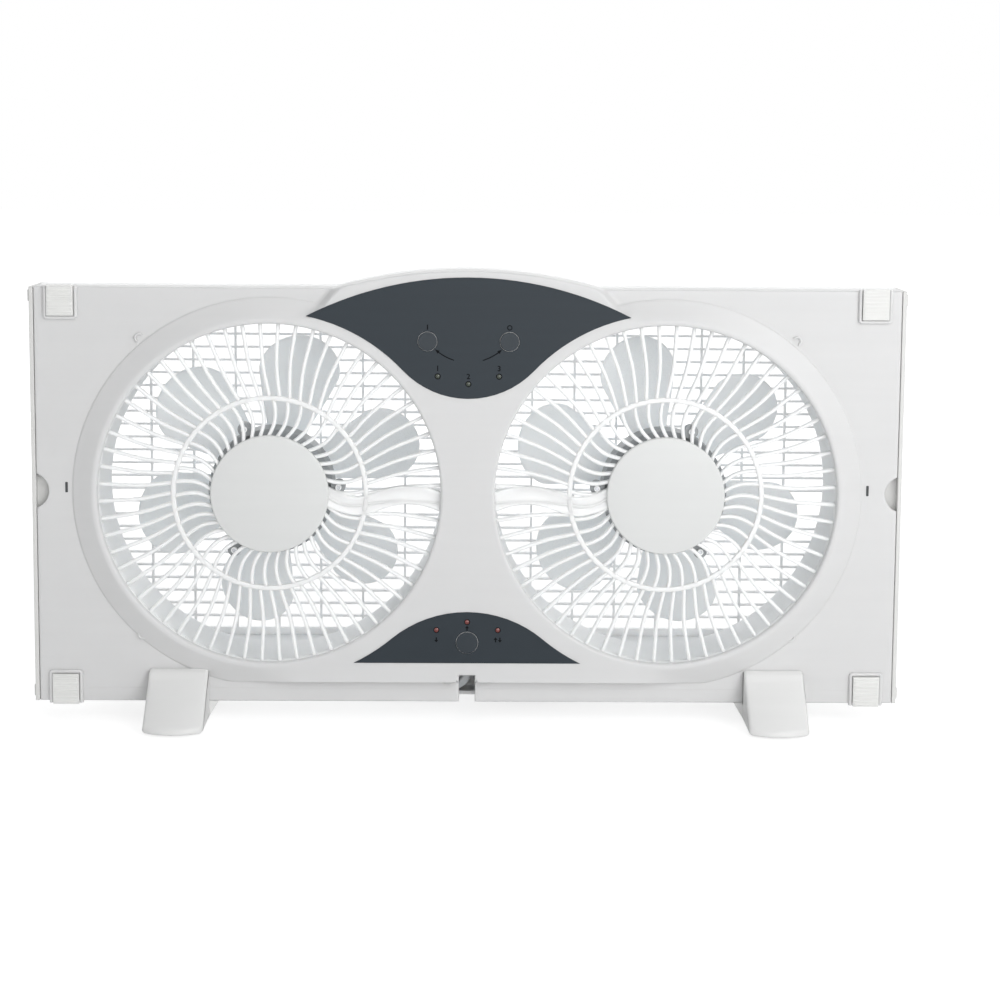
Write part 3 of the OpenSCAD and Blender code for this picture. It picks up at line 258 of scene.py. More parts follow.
def eased(corners, radius, steps=4, closed=True):
    """Corners of a line rounded by a curve from A to B about corner P:
    (1-s)^2 A + 2 s (1-s) P + s^2 B, with A and B a radius away along the two sides."""
    p = np.asarray(corners, float)
    before, after = np.roll(p, 1, 0) - p, np.roll(p, -1, 0) - p
    reach = np.linalg.norm([before, after], axis=-1).min(0)
    r = np.minimum(radius, reach * 0.45)[:, None]
    a, b = p + unit(before) * r, p + unit(after) * r
    s = np.linspace(0, 1, steps)[None, :, None]
    line = ((1 - s) ** 2 * a[:, None] + 2 * s * (1 - s) * p[:, None] + s ** 2 * b[:, None])
    line = line.reshape(-1, p.shape[1])
    if closed:
        return line
    return np.concatenate([p[:1], line[steps:-steps], p[-1:]])


def spline(points, steps):
    """Smooth curve through points: for a, b, c, d in a row it is
    (2b + (c-a)u + (2a-5b+4c-d)u^2 + (3b-a-3c+d)u^3) / 2 between b and c."""
    p = np.asarray(points, float)
    n = len(p) - 1
    i = np.arange(n)
    a, b = p[np.maximum(i - 1, 0)][:, None], p[i][:, None]
    c, d = p[i + 1][:, None], p[np.minimum(i + 2, n)][:, None]
    u = (np.arange(steps) / steps)[None, :, None]
    curve = 0.5 * (2 * b + (c - a) * u + (2 * a - 5 * b + 4 * c - d) * u ** 2
                   + (3 * b - a - 3 * c + d) * u ** 3)
    return np.concatenate([curve.reshape(-1, p.shape[1]), p[-1:]])


def unit(v):
    return v / np.maximum(np.linalg.norm(v, axis=-1, keepdims=True), 1e-12)


def left_of(path):
    """Unit vectors across a flat path, to its left."""
    heading = unit(np.gradient(path, axis=-2))
    return stacked(-heading[..., 1], heading[..., 0])


def smooth(v):
    """0 below 0, 1 above 1 and v^2 (3 - 2v) between."""
    v = np.clip(v, 0, 1)
    return v * v * (3 - 2 * v)


def along(path, profile, across):
    """Tube from a profile of (side, up) carried along a path of (x, t, z): each ring lies at
    P + side * W + up * U, with T the path's direction, W = across and U = T x W."""
    up = unit(np.cross(unit(np.gradient(path, axis=0)), across))
    return tubes((path[:, None] + across[:, None] * profile[None, :, :1]
                  + up[:, None] * profile[None, :, 1:])[None])


def joined(*parts):
    """Several (points, faces) as one."""
    points, faces, start = [], [], 0
    for some, their_faces in parts:
        points.append(some)
        faces += [f + start for f in their_faces]
        start += len(some)
    return np.concatenate(points), faces


def mirrored(part):
    """The other half of a left part, with its faces turned back outwards."""
    points, faces = part
    return points * (-1.0, 1.0, 1.0), [f[:, ::-1] for f in faces]


def on_side(part, side):
    """A left part as it is for side 1, mirrored for side -1."""
    return part if side > 0 else mirrored(part)


def doubled(left):
    """A left part and its mirror image as one."""
    return joined(left, mirrored(left))


def clean(mesh):
    """Merges points that coincide, drops faces without area and points the rest outwards."""
    edit = bmesh.new()
    edit.from_mesh(mesh)
    bmesh.ops.remove_doubles(edit, verts=edit.verts, dist=MERGE)
    bmesh.ops.dissolve_degenerate(edit, edges=edit.edges, dist=MERGE / 4)
    bmesh.ops.recalc_face_normals(edit, faces=edit.faces)
    edit.to_mesh(mesh)
    edit.free()


def make_piece(name, part, *rest, **more):
    """A piece from (points in body millimetres, faces), with its place in its mesh. What
    follows goes on to finish_piece."""
    points, faces = part
    mesh = bpy.data.meshes.new(name)
    mesh.from_pydata(place(points), [], [corners for some in faces for corners in some.tolist()])
    mesh.validate()
    clean(mesh)
    return finish_piece(name, mesh, *rest, **more)


def finish_piece(name, mesh, finish, nodes=(), slot=None, sharp=35, body="housing", ride=True):
    """Object of a mesh: its finish, the nodes that it stands for and its body; slot is not used.
    Edges of more than sharp degrees stay sharp."""
    mesh.shade_smooth()
    mesh.set_sharp_from_angle(angle=math.radians(sharp))
    mesh.materials.clear()
    mesh.materials.append(finishes()[finish])
    piece = bpy.data.objects.new(name, mesh)
    bpy.context.scene.collection.objects.link(piece)
    if ride:
        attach(piece, body)
    if nodes:
        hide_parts(*nodes)
    return piece


def softened(name, node, body, finish, slot, round_mm, segments=2):
    """A copy of a CAD node with its edges rounded: its loose triangles are merged, flat areas
    become single faces, and a bevel of round_mm goes on edges sharper than 30 degrees."""
    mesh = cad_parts[node].data.copy()
    edit = bmesh.new()
    edit.from_mesh(mesh)
    bmesh.ops.remove_doubles(edit, verts=edit.verts, dist=MERGE)
    bmesh.ops.dissolve_limit(edit, angle_limit=math.radians(1), verts=edit.verts, edges=edit.edges)
    edit.to_mesh(mesh)
    edit.free()
    sharp = 30
    piece = finish_piece(name, mesh, finish, (node,), slot, sharp, body)
    bevel = piece.modifiers.new("Soft edges", "BEVEL")
    bevel.width, bevel.segments = round_mm / 1000, segments
    bevel.limit_method, bevel.angle_limit = "ANGLE", math.radians(sharp)
    bevel.harden_normals = True


# ---- shader maths


class Wire:
    """A socket in a node tree. Sums and products with other wires or numbers add Math nodes."""

    def __init__(self, tree, socket):
        self.tree, self.socket = tree, socket

    def math(self, operation, first, second):
        node = self.tree.nodes.new("ShaderNodeMath")
        node.operation = operation
        for k, value in enumerate((first, second)):
            feed(self.tree, node.inputs[k], value)
        return Wire(self.tree, node.outputs[0])

    def __add__(self, other):
        return self.math("ADD", self, other)

    def __mul__(self, other):
        return self.math("MULTIPLY", self, other)

    __radd__, __rmul__ = __add__, __mul__


def feed(tree, socket, value):
    """Links a wire to a socket, or writes a number or colour on it."""
    if isinstance(value, Wire):
        tree.links.new(value.socket, socket)
    elif isinstance(value, (tuple, list)) and len(value) < len(socket.default_value):
        socket.default_value = (*value, 1.0)
    else:
        socket.default_value = value


class Finish:
    """A material or world in the making."""

    def __init__(self, name, owner=None):
        self.owner = owner or bpy.data.materials.new(name)
        self.owner.use_nodes = True
        self.tree = self.owner.node_tree
        self.tree.nodes.clear()

    def node(self, kind, settings=None, inputs=None, output=0):
        """Adds a node: its settings first, then the values or wires of its sockets."""
        made = self.tree.nodes.new("ShaderNode" + kind)
        for key, value in (settings or {}).items():
            setattr(made, key, value)
        for key, value in (inputs or {}).items():
            feed(self.tree, made.inputs[key], value)
        return Wire(self.tree, made.outputs[output]) if made.outputs else None

    def spot(self, scale=(1, 1, 1)):
        """The point on the object in metres, stretched by a Mapping node."""
        where = self.node("TexCoord", output="Object")
        return self.node("Mapping", inputs={"Vector": where, "Scale": scale})

    def noise(self, per_metre, detail=2.0, rough=0.5, spot=None):
        return self.node("TexNoise", inputs={
            "Vector": spot or self.spot(), "Scale": per_metre, "Detail": detail,
            "Roughness": rough})

    def mix(self, factor, first, second):
        """first and second blended by factor, as colours."""
        return self.node("Mix", {"data_type": "RGBA"}, {0: factor, 6: first, 7: second}, 2)

    def range(self, value, low, high, to_low=0.0, to_high=1.0):
        """value between low and high, carried to another range and clamped."""
        return self.node("MapRange", inputs={
            "Value": value, "From Min": low, "From Max": high, "To Min": to_low,
            "To Max": to_high})

    def bump(self, height, strength, distance=0.0002):
        return self.node("Bump", inputs={
            "Height": height, "Strength": strength, "Distance": distance})

    def tinted(self, value, low, high, rgb, dark, light):
        """rgb times dark where value is low or less, times light where it is high or more."""
        return self.mix(self.range(value, low, high), shade(rgb, dark), shade(rgb, light))

    def principled(self, **inputs):
        """The shader and the output; names with spaces are given with underscores."""
        shader = self.node("BsdfPrincipled", inputs={
            key.replace("_", " "): value for key, value in inputs.items()})
        self.node("OutputMaterial", inputs={"Surface": shader})
        return self.owner


def shade(rgb, factor):
    return tuple(min(1.0, c * factor) for c in rgb)


def moulded(name, rgb, rough, grain, mottle, thin=0.0, gleam=None):
    """Moulded plastic: cloudy tone, a fine eroded grain in relief, faint flow lines and a
    roughness that follows them."""
    f = Finish(name)
    cloud = f.noise(14, 4, 0.6)
    grains = f.noise(1400, 2, 0.6)
    flow = f.noise(9, 3, 0.5, f.spot((1, 6, 22)))
    tone = cloud * 0.6 + flow * 0.4
    base = f.tinted(tone, 0.3, 0.7, rgb, 1 - mottle, 1 + mottle)
    gloss = f.range(grains * 0.5 + cloud * 0.5, 0.3, 0.7, rough - 0.07, rough + 0.07)
    relief = f.bump(grains, grain, 0.00025)
    inputs = {"Base_Color": base, "Roughness": gloss, "Normal": relief}
    if thin:
        inputs.update(Subsurface_Weight=thin, Subsurface_Scale=0.006,
                      Subsurface_Radius=(0.9, 0.95, 1.0))
    if gleam is not None:
        inputs.update(Specular_IOR_Level=gleam)
    return f.principled(**inputs)


def metal(name, rgb, rough, stretch=(1, 40, 1), depth=0.05, painted=False):
    """Worked metal: fine lines along the cut, small pits and a roughness that wanders."""
    f = Finish(name)
    lines = f.noise(300, 2, 0.5, f.spot(stretch))
    pits = f.noise(900, 3, 0.6)
    base = f.tinted(lines * 0.6 + pits * 0.4, 0.3, 0.7, rgb, 0.86, 1.1)
    gloss = f.range(pits, 0.25, 0.75, rough - 0.1, rough + 0.12)
    return f.principled(Base_Color=base, Metallic=0.0 if painted else 1.0, Roughness=gloss,
                        Normal=f.bump(lines * 0.5 + pits * 0.5, depth))


def rubbery(name, rgb, rough):
    """Soft vinyl or rubber: matt, with a fine skin and faint bands of handling."""
    f = Finish(name)
    skin = f.noise(2200, 2, 0.7)
    bands = f.noise(40, 3, 0.6)
    base = f.tinted(bands, 0.35, 0.7, rgb, 0.93, 1.05)
    return f.principled(Base_Color=base, Normal=f.bump(skin, 0.12),
                        Roughness=f.range(bands, 0.3, 0.7, rough - 0.08, rough + 0.08))


def lens(name, rgb):
    """Tinted lens: darker towards its cloudy middle, under a clear gloss."""
    f = Finish(name)
    cloud = f.noise(600, 2, 0.5)
    base = f.tinted(cloud, 0.3, 0.7, rgb, 0.75, 1.25)
    return f.principled(Base_Color=base, Roughness=f.range(cloud, 0, 1, 0.12, 0.3),
                        Coat_Weight=0.6, Coat_Roughness=0.08)


def board_finish(name, rgb):
    """Circuit board: copper tracks under green lacquer as bands of a brick pattern."""
    f = Finish(name)
    tracks = f.node("TexBrick", inputs={
        "Vector": f.spot(), "Scale": 90.0, "Mortar Size": 0.06, "Color1": shade(rgb, 0.8),
        "Color2": shade(rgb, 1.0), "Mortar": shade(rgb, 1.9)})
    haze = f.noise(60, 3, 0.6)
    base = f.mix(f.range(haze, 0.3, 0.7, 0.0, 0.35), tracks, shade(rgb, 1.3))
    return f.principled(Base_Color=base, Roughness=f.range(haze, 0, 1, 0.25, 0.45),
                        Normal=f.bump(haze, 0.05))


def pleated(name, rgb):
    """Pleated film: fine pebbled skin, slightly warmer and rougher in soft patches."""
    f = Finish(name)
    pebble = f.noise(1100, 2, 0.6)
    patch = f.noise(24, 3, 0.5)
    base = f.tinted(patch, 0.35, 0.7, rgb, 0.95, 1.03)
    return f.principled(Base_Color=base, Normal=f.bump(pebble, 0.2),
                        Roughness=f.range(patch, 0, 1, 0.45, 0.6))


FINISHES = {}


def finishes():
    """Every finish by its name, made once from the scene's colours."""
    if FINISHES:
        return FINISHES
    c = bpy.context.scene.fan_colours
    FINISHES.update({
        "body": moulded("Satin shell", c.body[:], 0.45, 0.10, 0.018, thin=0.2),
        "housing": moulded("Duct plastic", c.housing[:], 0.5, 0.10, 0.015, thin=0.25),
        "grid": moulded("Grid plastic", c.housing[:], 0.5, 0.10, 0.015, thin=0.85),
        "grille": moulded("Grille plastic", c.grille[:], 0.38, 0.05, 0.01, thin=0.3),
        "cap": moulded("Cap plastic", c.cap[:], 0.36, 0.08, 0.018),
        "panel": moulded("Slate panel", c.panel[:], 0.4, 0.06, 0.05, gleam=0.22),
        "button": moulded("Slate button", c.panel[:], 0.36, 0.05, 0.04, gleam=0.3),
        "ink": moulded("Printed ink and painted gap shade", c.ink[:], 0.7, 0.03, 0.1, gleam=0.1),
        "blade": moulded("Blade plastic", c.blade[:], 0.3, 0.04, 0.015, thin=0.9),
        "motor": metal("Motor shell", c.motor[:], 0.42, (1, 1, 1), 0.06, painted=True),
        "steel": metal("Plated steel", linear(196, 198, 202), 0.3),
        "lamination": metal("Laminated core", linear(150, 152, 156), 0.4, (1, 60, 1), 0.2),
        "bronze": metal("Sintered bronze", linear(186, 150, 90), 0.45, (1, 1, 1), 0.15),
        "brass": metal("Plug blade brass", linear(214, 186, 122), 0.25),
        "winding": metal("Enamelled wire", linear(178, 112, 62), 0.3, (1, 90, 1), 0.4),
        "guide": metal("Extruded rail", linear(216, 216, 214), 0.35, (0.2, 30, 30)),
        "rail": moulded("Rail plastic", c.rail[:], 0.5, 0.10, 0.02),
        # the rail's plastic made lighter: painted light on the lock tabs
        "tab": moulded("Tab plastic", c.tab[:], 0.5, 0.10, 0.02),
        # lighter than the shell's plastic: painted light on the feet
        "foot": moulded("Foot plastic", c.foot[:], 0.48, 0.12, 0.018),
        "nut": moulded("Nut plastic", linear(236, 236, 233), 0.4, 0.06, 0.02),
        "cord": rubbery("Cord vinyl", c.cord[:], 0.5),
        "lead": rubbery("Dark sleeve", linear(60, 64, 70), 0.55),
        "pad": rubbery("Pad rubber", linear(50, 51, 53), 0.75),
        "tie": rubbery("Coated tie", linear(40, 41, 44), 0.5),
        "capacitor": moulded("Capacitor case", linear(46, 48, 52), 0.4, 0.08, 0.06),
        "sensor": lens("Sensor window", linear(34, 36, 40)),
        "speed_lamp": lens("Speed lamp", linear(50, 58, 46)),
        "mode_lamp": lens("Mode lamp", linear(118, 56, 52)),
        "board": board_finish("Circuit board", linear(52, 112, 74)),
        "film": pleated("Pleated film", c.film[:]),
        # a dark colour painted as the shade inside the small slots by the tab guides
        "dark": moulded("Painted slot shade", linear(70, 72, 74), 0.7, 0.05, 0.05),
    })
    return FINISHES


def both(*names):
    """Each name for the left side and for the right side."""
    return tuple(f"{name}_{side}" for name in names for side, _ in SIDES)


NODE_FINISHES = {
    "body": ("front_frame",),
    "housing": ("rear_housing",),
    "grid": ("rear_grille",),
    "grille": both("front_grille"),
    "cap": both("hub_cap"),
    "panel": ("upper_panel", "lower_panel"),
    "button": ("speed_button", "off_button", "mode_button"),
    "blade": both("impeller"),
    "motor": both("motor_front_shell", "motor_rear_shell"),
    "steel": ("motor_screws", "board_screws", "case_screws", "grille_screws", *both("shaft")),
    "lamination": both("rotor_core"),
    "winding": both("stator"),
    "bronze": ("shaft_bushes",),
    "brass": ("plug_blades",),
    "guide": both("guide_rails"),
    "rail": both("end_rail"),
    "tab": both("lock_tab_top", "lock_tab_bottom"),
    "foot": both("foot"),
    "nut": both("impeller_nut"),
    "cord": ("supply_lead", "strain_relief", "power_cord", "cord_coil", "plug"),
    "lead": both("motor_lead"),
    "pad": ("foot_pads",),
    "tie": ("cord_tie",),
    "capacitor": ("run_capacitors",),
    "sensor": ("remote_sensor",),
    "speed_lamp": ("speed_lamps",),
    "mode_lamp": ("mode_lamps",),
    "board": ("speed_board", "mode_board"),
    "film": both("bellows"),
}


# ---- stage


class FAN_OT_stage(bpy.types.Operator):
    """Camera, soft lights, white surroundings and the pale floor"""

    bl_idname = "fan.stage"
    bl_label = "Stage"

    def execute(self, context):
        s = context.scene.fan_stage
        data = bpy.data.cameras.new("Camera")
        data.lens, data.sensor_width = s.lens, 36
        data.shift_x, data.shift_y = 0.003, -0.1375
        data.clip_start, data.clip_end = 0.05, 50
        camera = bpy.data.objects.new("Camera", data)
        camera.location = (0.0042, -1.4338, 0.4057)
        camera.rotation_euler = self.aim(yaw=-0.628, down=6.386, roll=0.392)
        context.scene.collection.objects.link(camera)
        context.scene.camera = camera
        self.soft_box("Key", (1.05, -1.25, 1.0), 0.9, s.key)
        self.soft_box("Front", (0.4, -1.9, 0.24), 1.4, s.fill)
        self.soft_box("Left", (-1.3, -1.5, 0.3), 1.0, s.left)
        self.soft_box("Back", (0.0, 1.3, 0.6), 2.6, s.back)
        self.surroundings(context, s.sky)
        self.floor(context)
        context.scene.view_settings.view_transform = "Standard"
        return {"FINISHED"}

    @staticmethod
    def aim(yaw, down, roll):
        """Level view along +Y turned by yaw about Z, tipped down, then rolled about its line."""
        turn = (Euler((0, 0, math.radians(yaw))).to_matrix()
                @ Euler((math.radians(90 - down), 0, 0)).to_matrix()
                @ Euler((0, 0, math.radians(roll))).to_matrix())
        return turn.to_euler()

    @staticmethod
    def soft_box(name, where, size, power):
        """A square light that faces the middle of the fan."""
        data = bpy.data.lights.new(name, "AREA")
        data.shape, data.size, data.energy = "SQUARE", size, power
        lamp = bpy.data.objects.new(name, data)
        lamp.location = where
        facing = np.array([0, 0, 0.15]) - np.array(where)
        lamp.rotation_euler = (math.atan2(math.hypot(facing[0], facing[1]), -facing[2]), 0.0,
                               math.atan2(facing[1], facing[0]) - math.pi / 2)
        bpy.context.scene.collection.objects.link(lamp)

    @staticmethod
    def surroundings(context, level):
        """Even light at one level; the camera, gloss and glass see plain white instead."""
        world = bpy.data.worlds.new("Surroundings")
        context.scene.world = world
        f = Finish("Surroundings", world)
        seen = f.node("LightPath", output="Is Camera Ray")
        for path in ("Is Glossy Ray", "Is Transmission Ray"):
            seen = seen.math("MAXIMUM", seen, f.node("LightPath", output=path))
        light = f.node("Background", inputs={"Color": (0.98, 0.99, 1.0), "Strength": level})
        white = f.node("Background", inputs={"Color": (1.0, 1.0, 1.0), "Strength": 1.0})
        both = f.node("MixShader", inputs={0: seen, 1: light, 2: white})
        f.node("OutputWorld", inputs={"Surface": both})

    @staticmethod
    def floor(context):
        """Pale floor; for the camera a little white is added, which keeps the shadow."""
        c = context.scene.fan_colours
        f = Finish("Pale floor")
        cloud = f.noise(3, 3, 0.5)
        base = f.mix(cloud, shade(c.floor[:], 0.985), c.floor[:])
        matt = f.node("BsdfDiffuse", inputs={"Color": base})
        white = f.node("Emission", inputs={"Color": (1.0, 1.0, 1.0), "Strength": 1.0})
        seen = f.node("LightPath", output="Is Camera Ray")
        away = f.node("VectorMath", {"operation": "LENGTH"},
                      {0: f.node("TexCoord", output="Object")}, "Value")
        kept = f.node("MixShader", inputs={0: seen * 0.6, 1: matt})
        lift = f.node("MixShader", inputs={0: seen * f.range(away, 0.5, 1.1, 0.78, 1.0), 2: white})
        f.node("OutputMaterial", inputs={
            "Surface": f.node("AddShader", inputs={0: kept, 1: lift})})
        mesh = bpy.data.meshes.new("Floor")
        mesh.from_pydata([(-9, -9, 0), (9, -9, 0), (9, 9, 0), (-9, 9, 0)], [], [(0, 1, 2, 3)])
        mesh.materials.append(f.owner)
        floor = bpy.data.objects.new("Floor", mesh)
        context.scene.collection.objects.link(floor)


# ---- cord

LEAD = [[-30, 66, 24.5], [-30, 72, 24.5], [-30, 79, 23], [-30, 87, 19.5], [-29, 95, 15],
        [-27, 103, 11], [-23, 111, 7.5], [-17, 118, 5], [-9, 123, 3.6], [0, 126, 3.2],
        [11, 127, 3.1], [22, 127, 3.1], [34, 127, 3.1]]
TAIL = [[46, 127, 15.7], [52, 127, 15.7], [61, 127, 14], [70, 127, 10.6], [79, 127, 6.6],
        [88, 127, 4], [96, 127, 3.5], [104, 127, 4.8], [112, 127, 6], [118, 127, 6]]
SUPPLY = [[-30, 33, 11], [-30, 30, 11], [-30, 26, 11], [-28, 20, 10], [-20, 13, 9],
          [-10, 10, 9], [-3.5, 9, 12], [0, 9, 18], [0, 9, 26], [0, 9, 34]]
COIL_X, COIL_T, COIL_IN = 40.0, 86.0, 29.45
COIL_STEP, COIL_RISE, COIL_FLOOR = 6.6, 4.2, 1.3
COIL_LAYERS, LAYER_TURNS, LOOP_RINGS = 4, 1.75, 24


def coil_line(thick):
    """Seven turns in four layers. After u turns the angle is 90 - 360 u degrees, the radius
    runs between 29.45 and 41 mm and back from layer to layer, and the height climbs one
    layer by a smooth step in the half turn round each reversal."""
    u = np.arange(int(COIL_LAYERS * LAYER_TURNS * LOOP_RINGS) + 1) / LOOP_RINGS
    layer = np.floor(u / LAYER_TURNS)
    part = u - layer * LAYER_TURNS
    outer = COIL_IN + LAYER_TURNS * COIL_STEP
    r = np.where(layer % 2 == 0, outer - part * COIL_STEP, COIL_IN + part * COIL_STEP)
    climb = smooth((u[:, None] - np.arange(1, COIL_LAYERS) * LAYER_TURNS + 0.25) / 0.5)
    z = COIL_FLOOR + thick / 2 + COIL_RISE * climb.sum(1)
    a = np.radians(90 - 360 * u)
    return stacked(COIL_X + r * np.cos(a), COIL_T + r * np.sin(a), z)


def two_core(wide, thick, steps=16):
    """Section of two round cores side by side: at angle a the half width is
    wide / 2 cos a, and the half height thick / 2 sqrt(1 - (reach / core)^2) beyond a core's
    middle, with a groove where the cores meet."""
    a = np.linspace(0, 2 * np.pi, steps, endpoint=False) + np.pi / steps
    side = np.cos(a) * wide / 2
    core = thick / 2
    middle = wide / 2 - core
    reach = np.clip((np.abs(side) - middle) / core, 0, 1)
    groove = 0.82 + 0.18 * np.clip(np.abs(side) / middle, 0, 1) ** 0.8
    up = np.sign(np.sin(a)) * core * np.sqrt(1 - reach ** 2) * groove
    return stacked(side, up)


class FAN_OT_cord(bpy.types.Operator):
    """Supply lead in the notch, sleeve, free cord with its coil, and plug"""

    bl_idname = "fan.cord"
    bl_label = "Cord"

    def execute(self, context):
        s = context.scene.fan_cord
        wide, thick = mm(s.wide), mm(s.thick)
        section = two_core(wide, thick)
        route = np.concatenate([spline(LEAD, 4), coil_line(thick), spline(TAIL, 4)])
        path = route - (0, 0, BODY_LIFT)
        heading = unit(np.gradient(path, axis=0))
        level = unit(np.cross(heading, (0.0, 0.0, 1.0)))
        cord = make_piece("cord", along(path, section, level), "cord",
                          ("power_cord", "cord_coil"), "cord_white", 60)
        plug = self.plug()
        wide / 1000
        # inside the notch the section's wide axis is X less its part along the path
        supply = spline(SUPPLY, 6)
        heading = unit(np.gradient(supply, axis=0))
        across = unit((1.0, 0.0, 0.0) - heading[:, :1] * heading)
        make_piece("supply_cord", along(supply, section, across), "cord", ("supply_lead",),
                   "cord_white", 60)
        self.sleeve()
        return {"FINISHED"}

    @staticmethod
    def sleeve():
        """Turned sleeve: flange, neck and a tail that tapers from 5 to 3.7 mm in radius, with
        seven rings cut into it where cos(14 pi v) is low."""
        v = np.linspace(0, 1, 57)
        ring = 0.45 * np.clip(0.25 - np.cos(14 * np.pi * v), 0, 1) * (v < 0.93)
        tail = stacked(5 - 1.3 * v - ring, 41.5 + 24.4 * v)
        head = eased([[0, 33.2], [6.4, 33.2], [6.4, 35.4], [5.1, 35.4], [5.1, 38.2], [7, 38.2],
                      [7, 40], [5, 41.3]], 0.35, 3, closed=False)
        make_piece("cord_sleeve", turned(np.concatenate([head, tail, [[0, 65.9]]]), (-30, 11), 40),
                   "cord", ("strain_relief",), "cord_white", 50)

    @staticmethod
    def plug():
        """Flat plug: its section at each station along the body is a rounded oval, half width
        and half height following the waist and the grip."""
        station = np.array([0, 1, 4, 9, 12, 14.5, 17, 22, 28, 32, 33.4, 34])
        half_w = np.array([3.6, 4.4, 4.8, 5.4, 6.6, 9.2, 11.2, 11.8, 11.8, 11.4, 10.8, 10.0])
        half_h = np.array([2.1, 2.4, 2.8, 3.2, 3.8, 5.0, 5.6, 5.6, 5.6, 5.4, 4.9, 4.2])
        x = np.linspace(0, station[-1], 40)
        grip = 0.22 * np.clip(np.sin((x - 15) * 2 * np.pi / 3), 0, 1) * ((x > 15) & (x < 30))
        w = np.interp(x, station, half_w) - grip
        h = np.interp(x, station, half_h)
        a = np.linspace(0, 2 * np.pi, 32, endpoint=False)
        side = np.sign(np.cos(a)) * np.abs(np.cos(a)) ** 0.55
        up = np.sign(np.sin(a)) * np.abs(np.sin(a)) ** 0.55
        x0, t0, z0 = TAIL[-1]
        points = stacked(x0 + x[:, None], t0 + w[:, None] * side,
                         z0 - BODY_LIFT + h[:, None] * up)
        return make_piece("plug_body", tubes(points[None]), "cord", ("plug",), "cord_white", 50)


# ---- front shell


def half_outline(inset):
    """Left half's outline drawn in by inset, from the notch round the lower edge, the finger
    bite (radius 12.4 about x = -299), the upper edge and the arch; the side on x = 0 stays."""
    end = FACE_END - inset
    bite_r = BITE_R + inset
    turn = np.arccos((BITE_X - end) / bite_r)
    bite = polar(bite_r, np.linspace(-turn, turn, 25), -BITE_X, BITE_Z)
    r, level = ARCH_R - inset, BODY_TOP - inset
    x = -np.linspace(np.sqrt(r * r - (level - ARCH_Z) ** 2), 0, 41)
    arch = stacked(x, ARCH_Z + np.sqrt(r * r - x * x))
    side, top = -NOTCH_X - inset, NOTCH_Z + inset
    return np.concatenate([[[0, top], [side, top], [side, inset], [-end, inset]], bite,
                           [[-end, level]], arch])


def ray_reach(angles, outline):
    """Distance from the fan's axis C to the outline along each direction d. A side from P along
    E is met at s = (P x E) / (d x E), m = (P x d) / (d x E), with 0 <= m <= 1; least s > 0."""
    d = polar(1, angles)[:, None]
    p = (outline - (-FAN_X, FAN_Z))[None]
    e = np.roll(outline, -1, 0)[None] - outline[None]
    turn = d[..., 0] * e[..., 1] - d[..., 1] * e[..., 0]
    turn = np.where(np.abs(turn) < 1e-12, 1e-12, turn)
    s = (p[..., 0] * e[..., 1] - p[..., 1] * e[..., 0]) / turn
    m = (p[..., 0] * d[..., 1] - p[..., 1] * d[..., 0]) / turn
    return np.where((s > 1) & (m > -1e-9) & (m < 1 + 1e-9), s, 1e9).min(1)


def console_inside(x, z, s):
    """Distance inside the console's edge, in widths of its slope. The edge is a circle about
    z = 51.5 outside x = -106 and passes into the arch up to x = -80; the slope widens from
    its own width to four times that width on the way out."""
    out = smooth((-70 - x) / 36) * smooth((z - 240) / 20)
    wide = mm(s.console_slope) * (1 + 3 * out)
    circle = CONSOLE_R - np.hypot(x, z - CONSOLE_Z)
    arch = ARCH_R - np.hypot(x, z - ARCH_Z) + wide
    part = smooth((x + 106) / 26) * smooth((z - 240) / 20)
    return (circle + (arch - circle) * part) / wide


def face_rise(x, z, s):
    """How far the face stands forward of its ground at x, z.
    Rim: 7 down to the low step's height in a straight slope, then the step, 1.6 wide, less a
    quarter round at the lip.
    Console: 7 inside its edge, fading from x = -114 to x = -150. Both join as
    a + b - a b / 7, and a small step at z = 15 and a line at z = 9.4 cut them off below."""
    r = np.hypot(x + FAN_X, z - FAN_Z)
    start, end, lip, low = mm(s.rim_start), mm(s.rim_end), mm(s.lip_round), mm(s.rim_step)
    rim = RISE - (RISE - low) * np.clip((r - start) / (end - start), 0, 1)
    rim = rim - low * smooth((r - end) / 1.6)
    over = np.clip((LIP_R + lip - r) / lip, 0, 1)
    rim = rim - (lip - np.sqrt(lip * lip * (1 - over * over)))
    console = RISE * smooth(console_inside(x, z, s))
    console = console * smooth((x + 150) / 36)
    console = np.where(r < LIP_R + lip, 0, console)
    both = rim + console - rim * console / RISE
    step = RISE * smooth((z - CONSOLE_LOW + 0.7) / 1.3)
    line = 0.15 * smooth((10.0 - z) / 0.9)
    return np.minimum(both, step) - line


def edge_drop(x, z, radius):
    """Rounding of the outer edge: radius - sqrt(radius^2 - (radius - d)^2) where the distance d
    to the outline is under the radius."""
    top = BODY_TOP - z
    arch = ARCH_R - np.hypot(x, z - ARCH_Z)
    over = np.where(np.abs(x) < 91, np.maximum(top, arch), top)
    bite = np.hypot(x + BITE_X, z - BITE_Z) - BITE_R
    notch = np.hypot(np.clip(np.abs(x) - NOTCH_X, 0, None), np.clip(z - NOTCH_Z, 0, None))
    d = np.clip(np.minimum.reduce([over, z, FACE_END + x, bite, notch]), 0, radius)
    return radius - np.sqrt(np.clip(radius ** 2 - (radius - d) ** 2, 0, None))


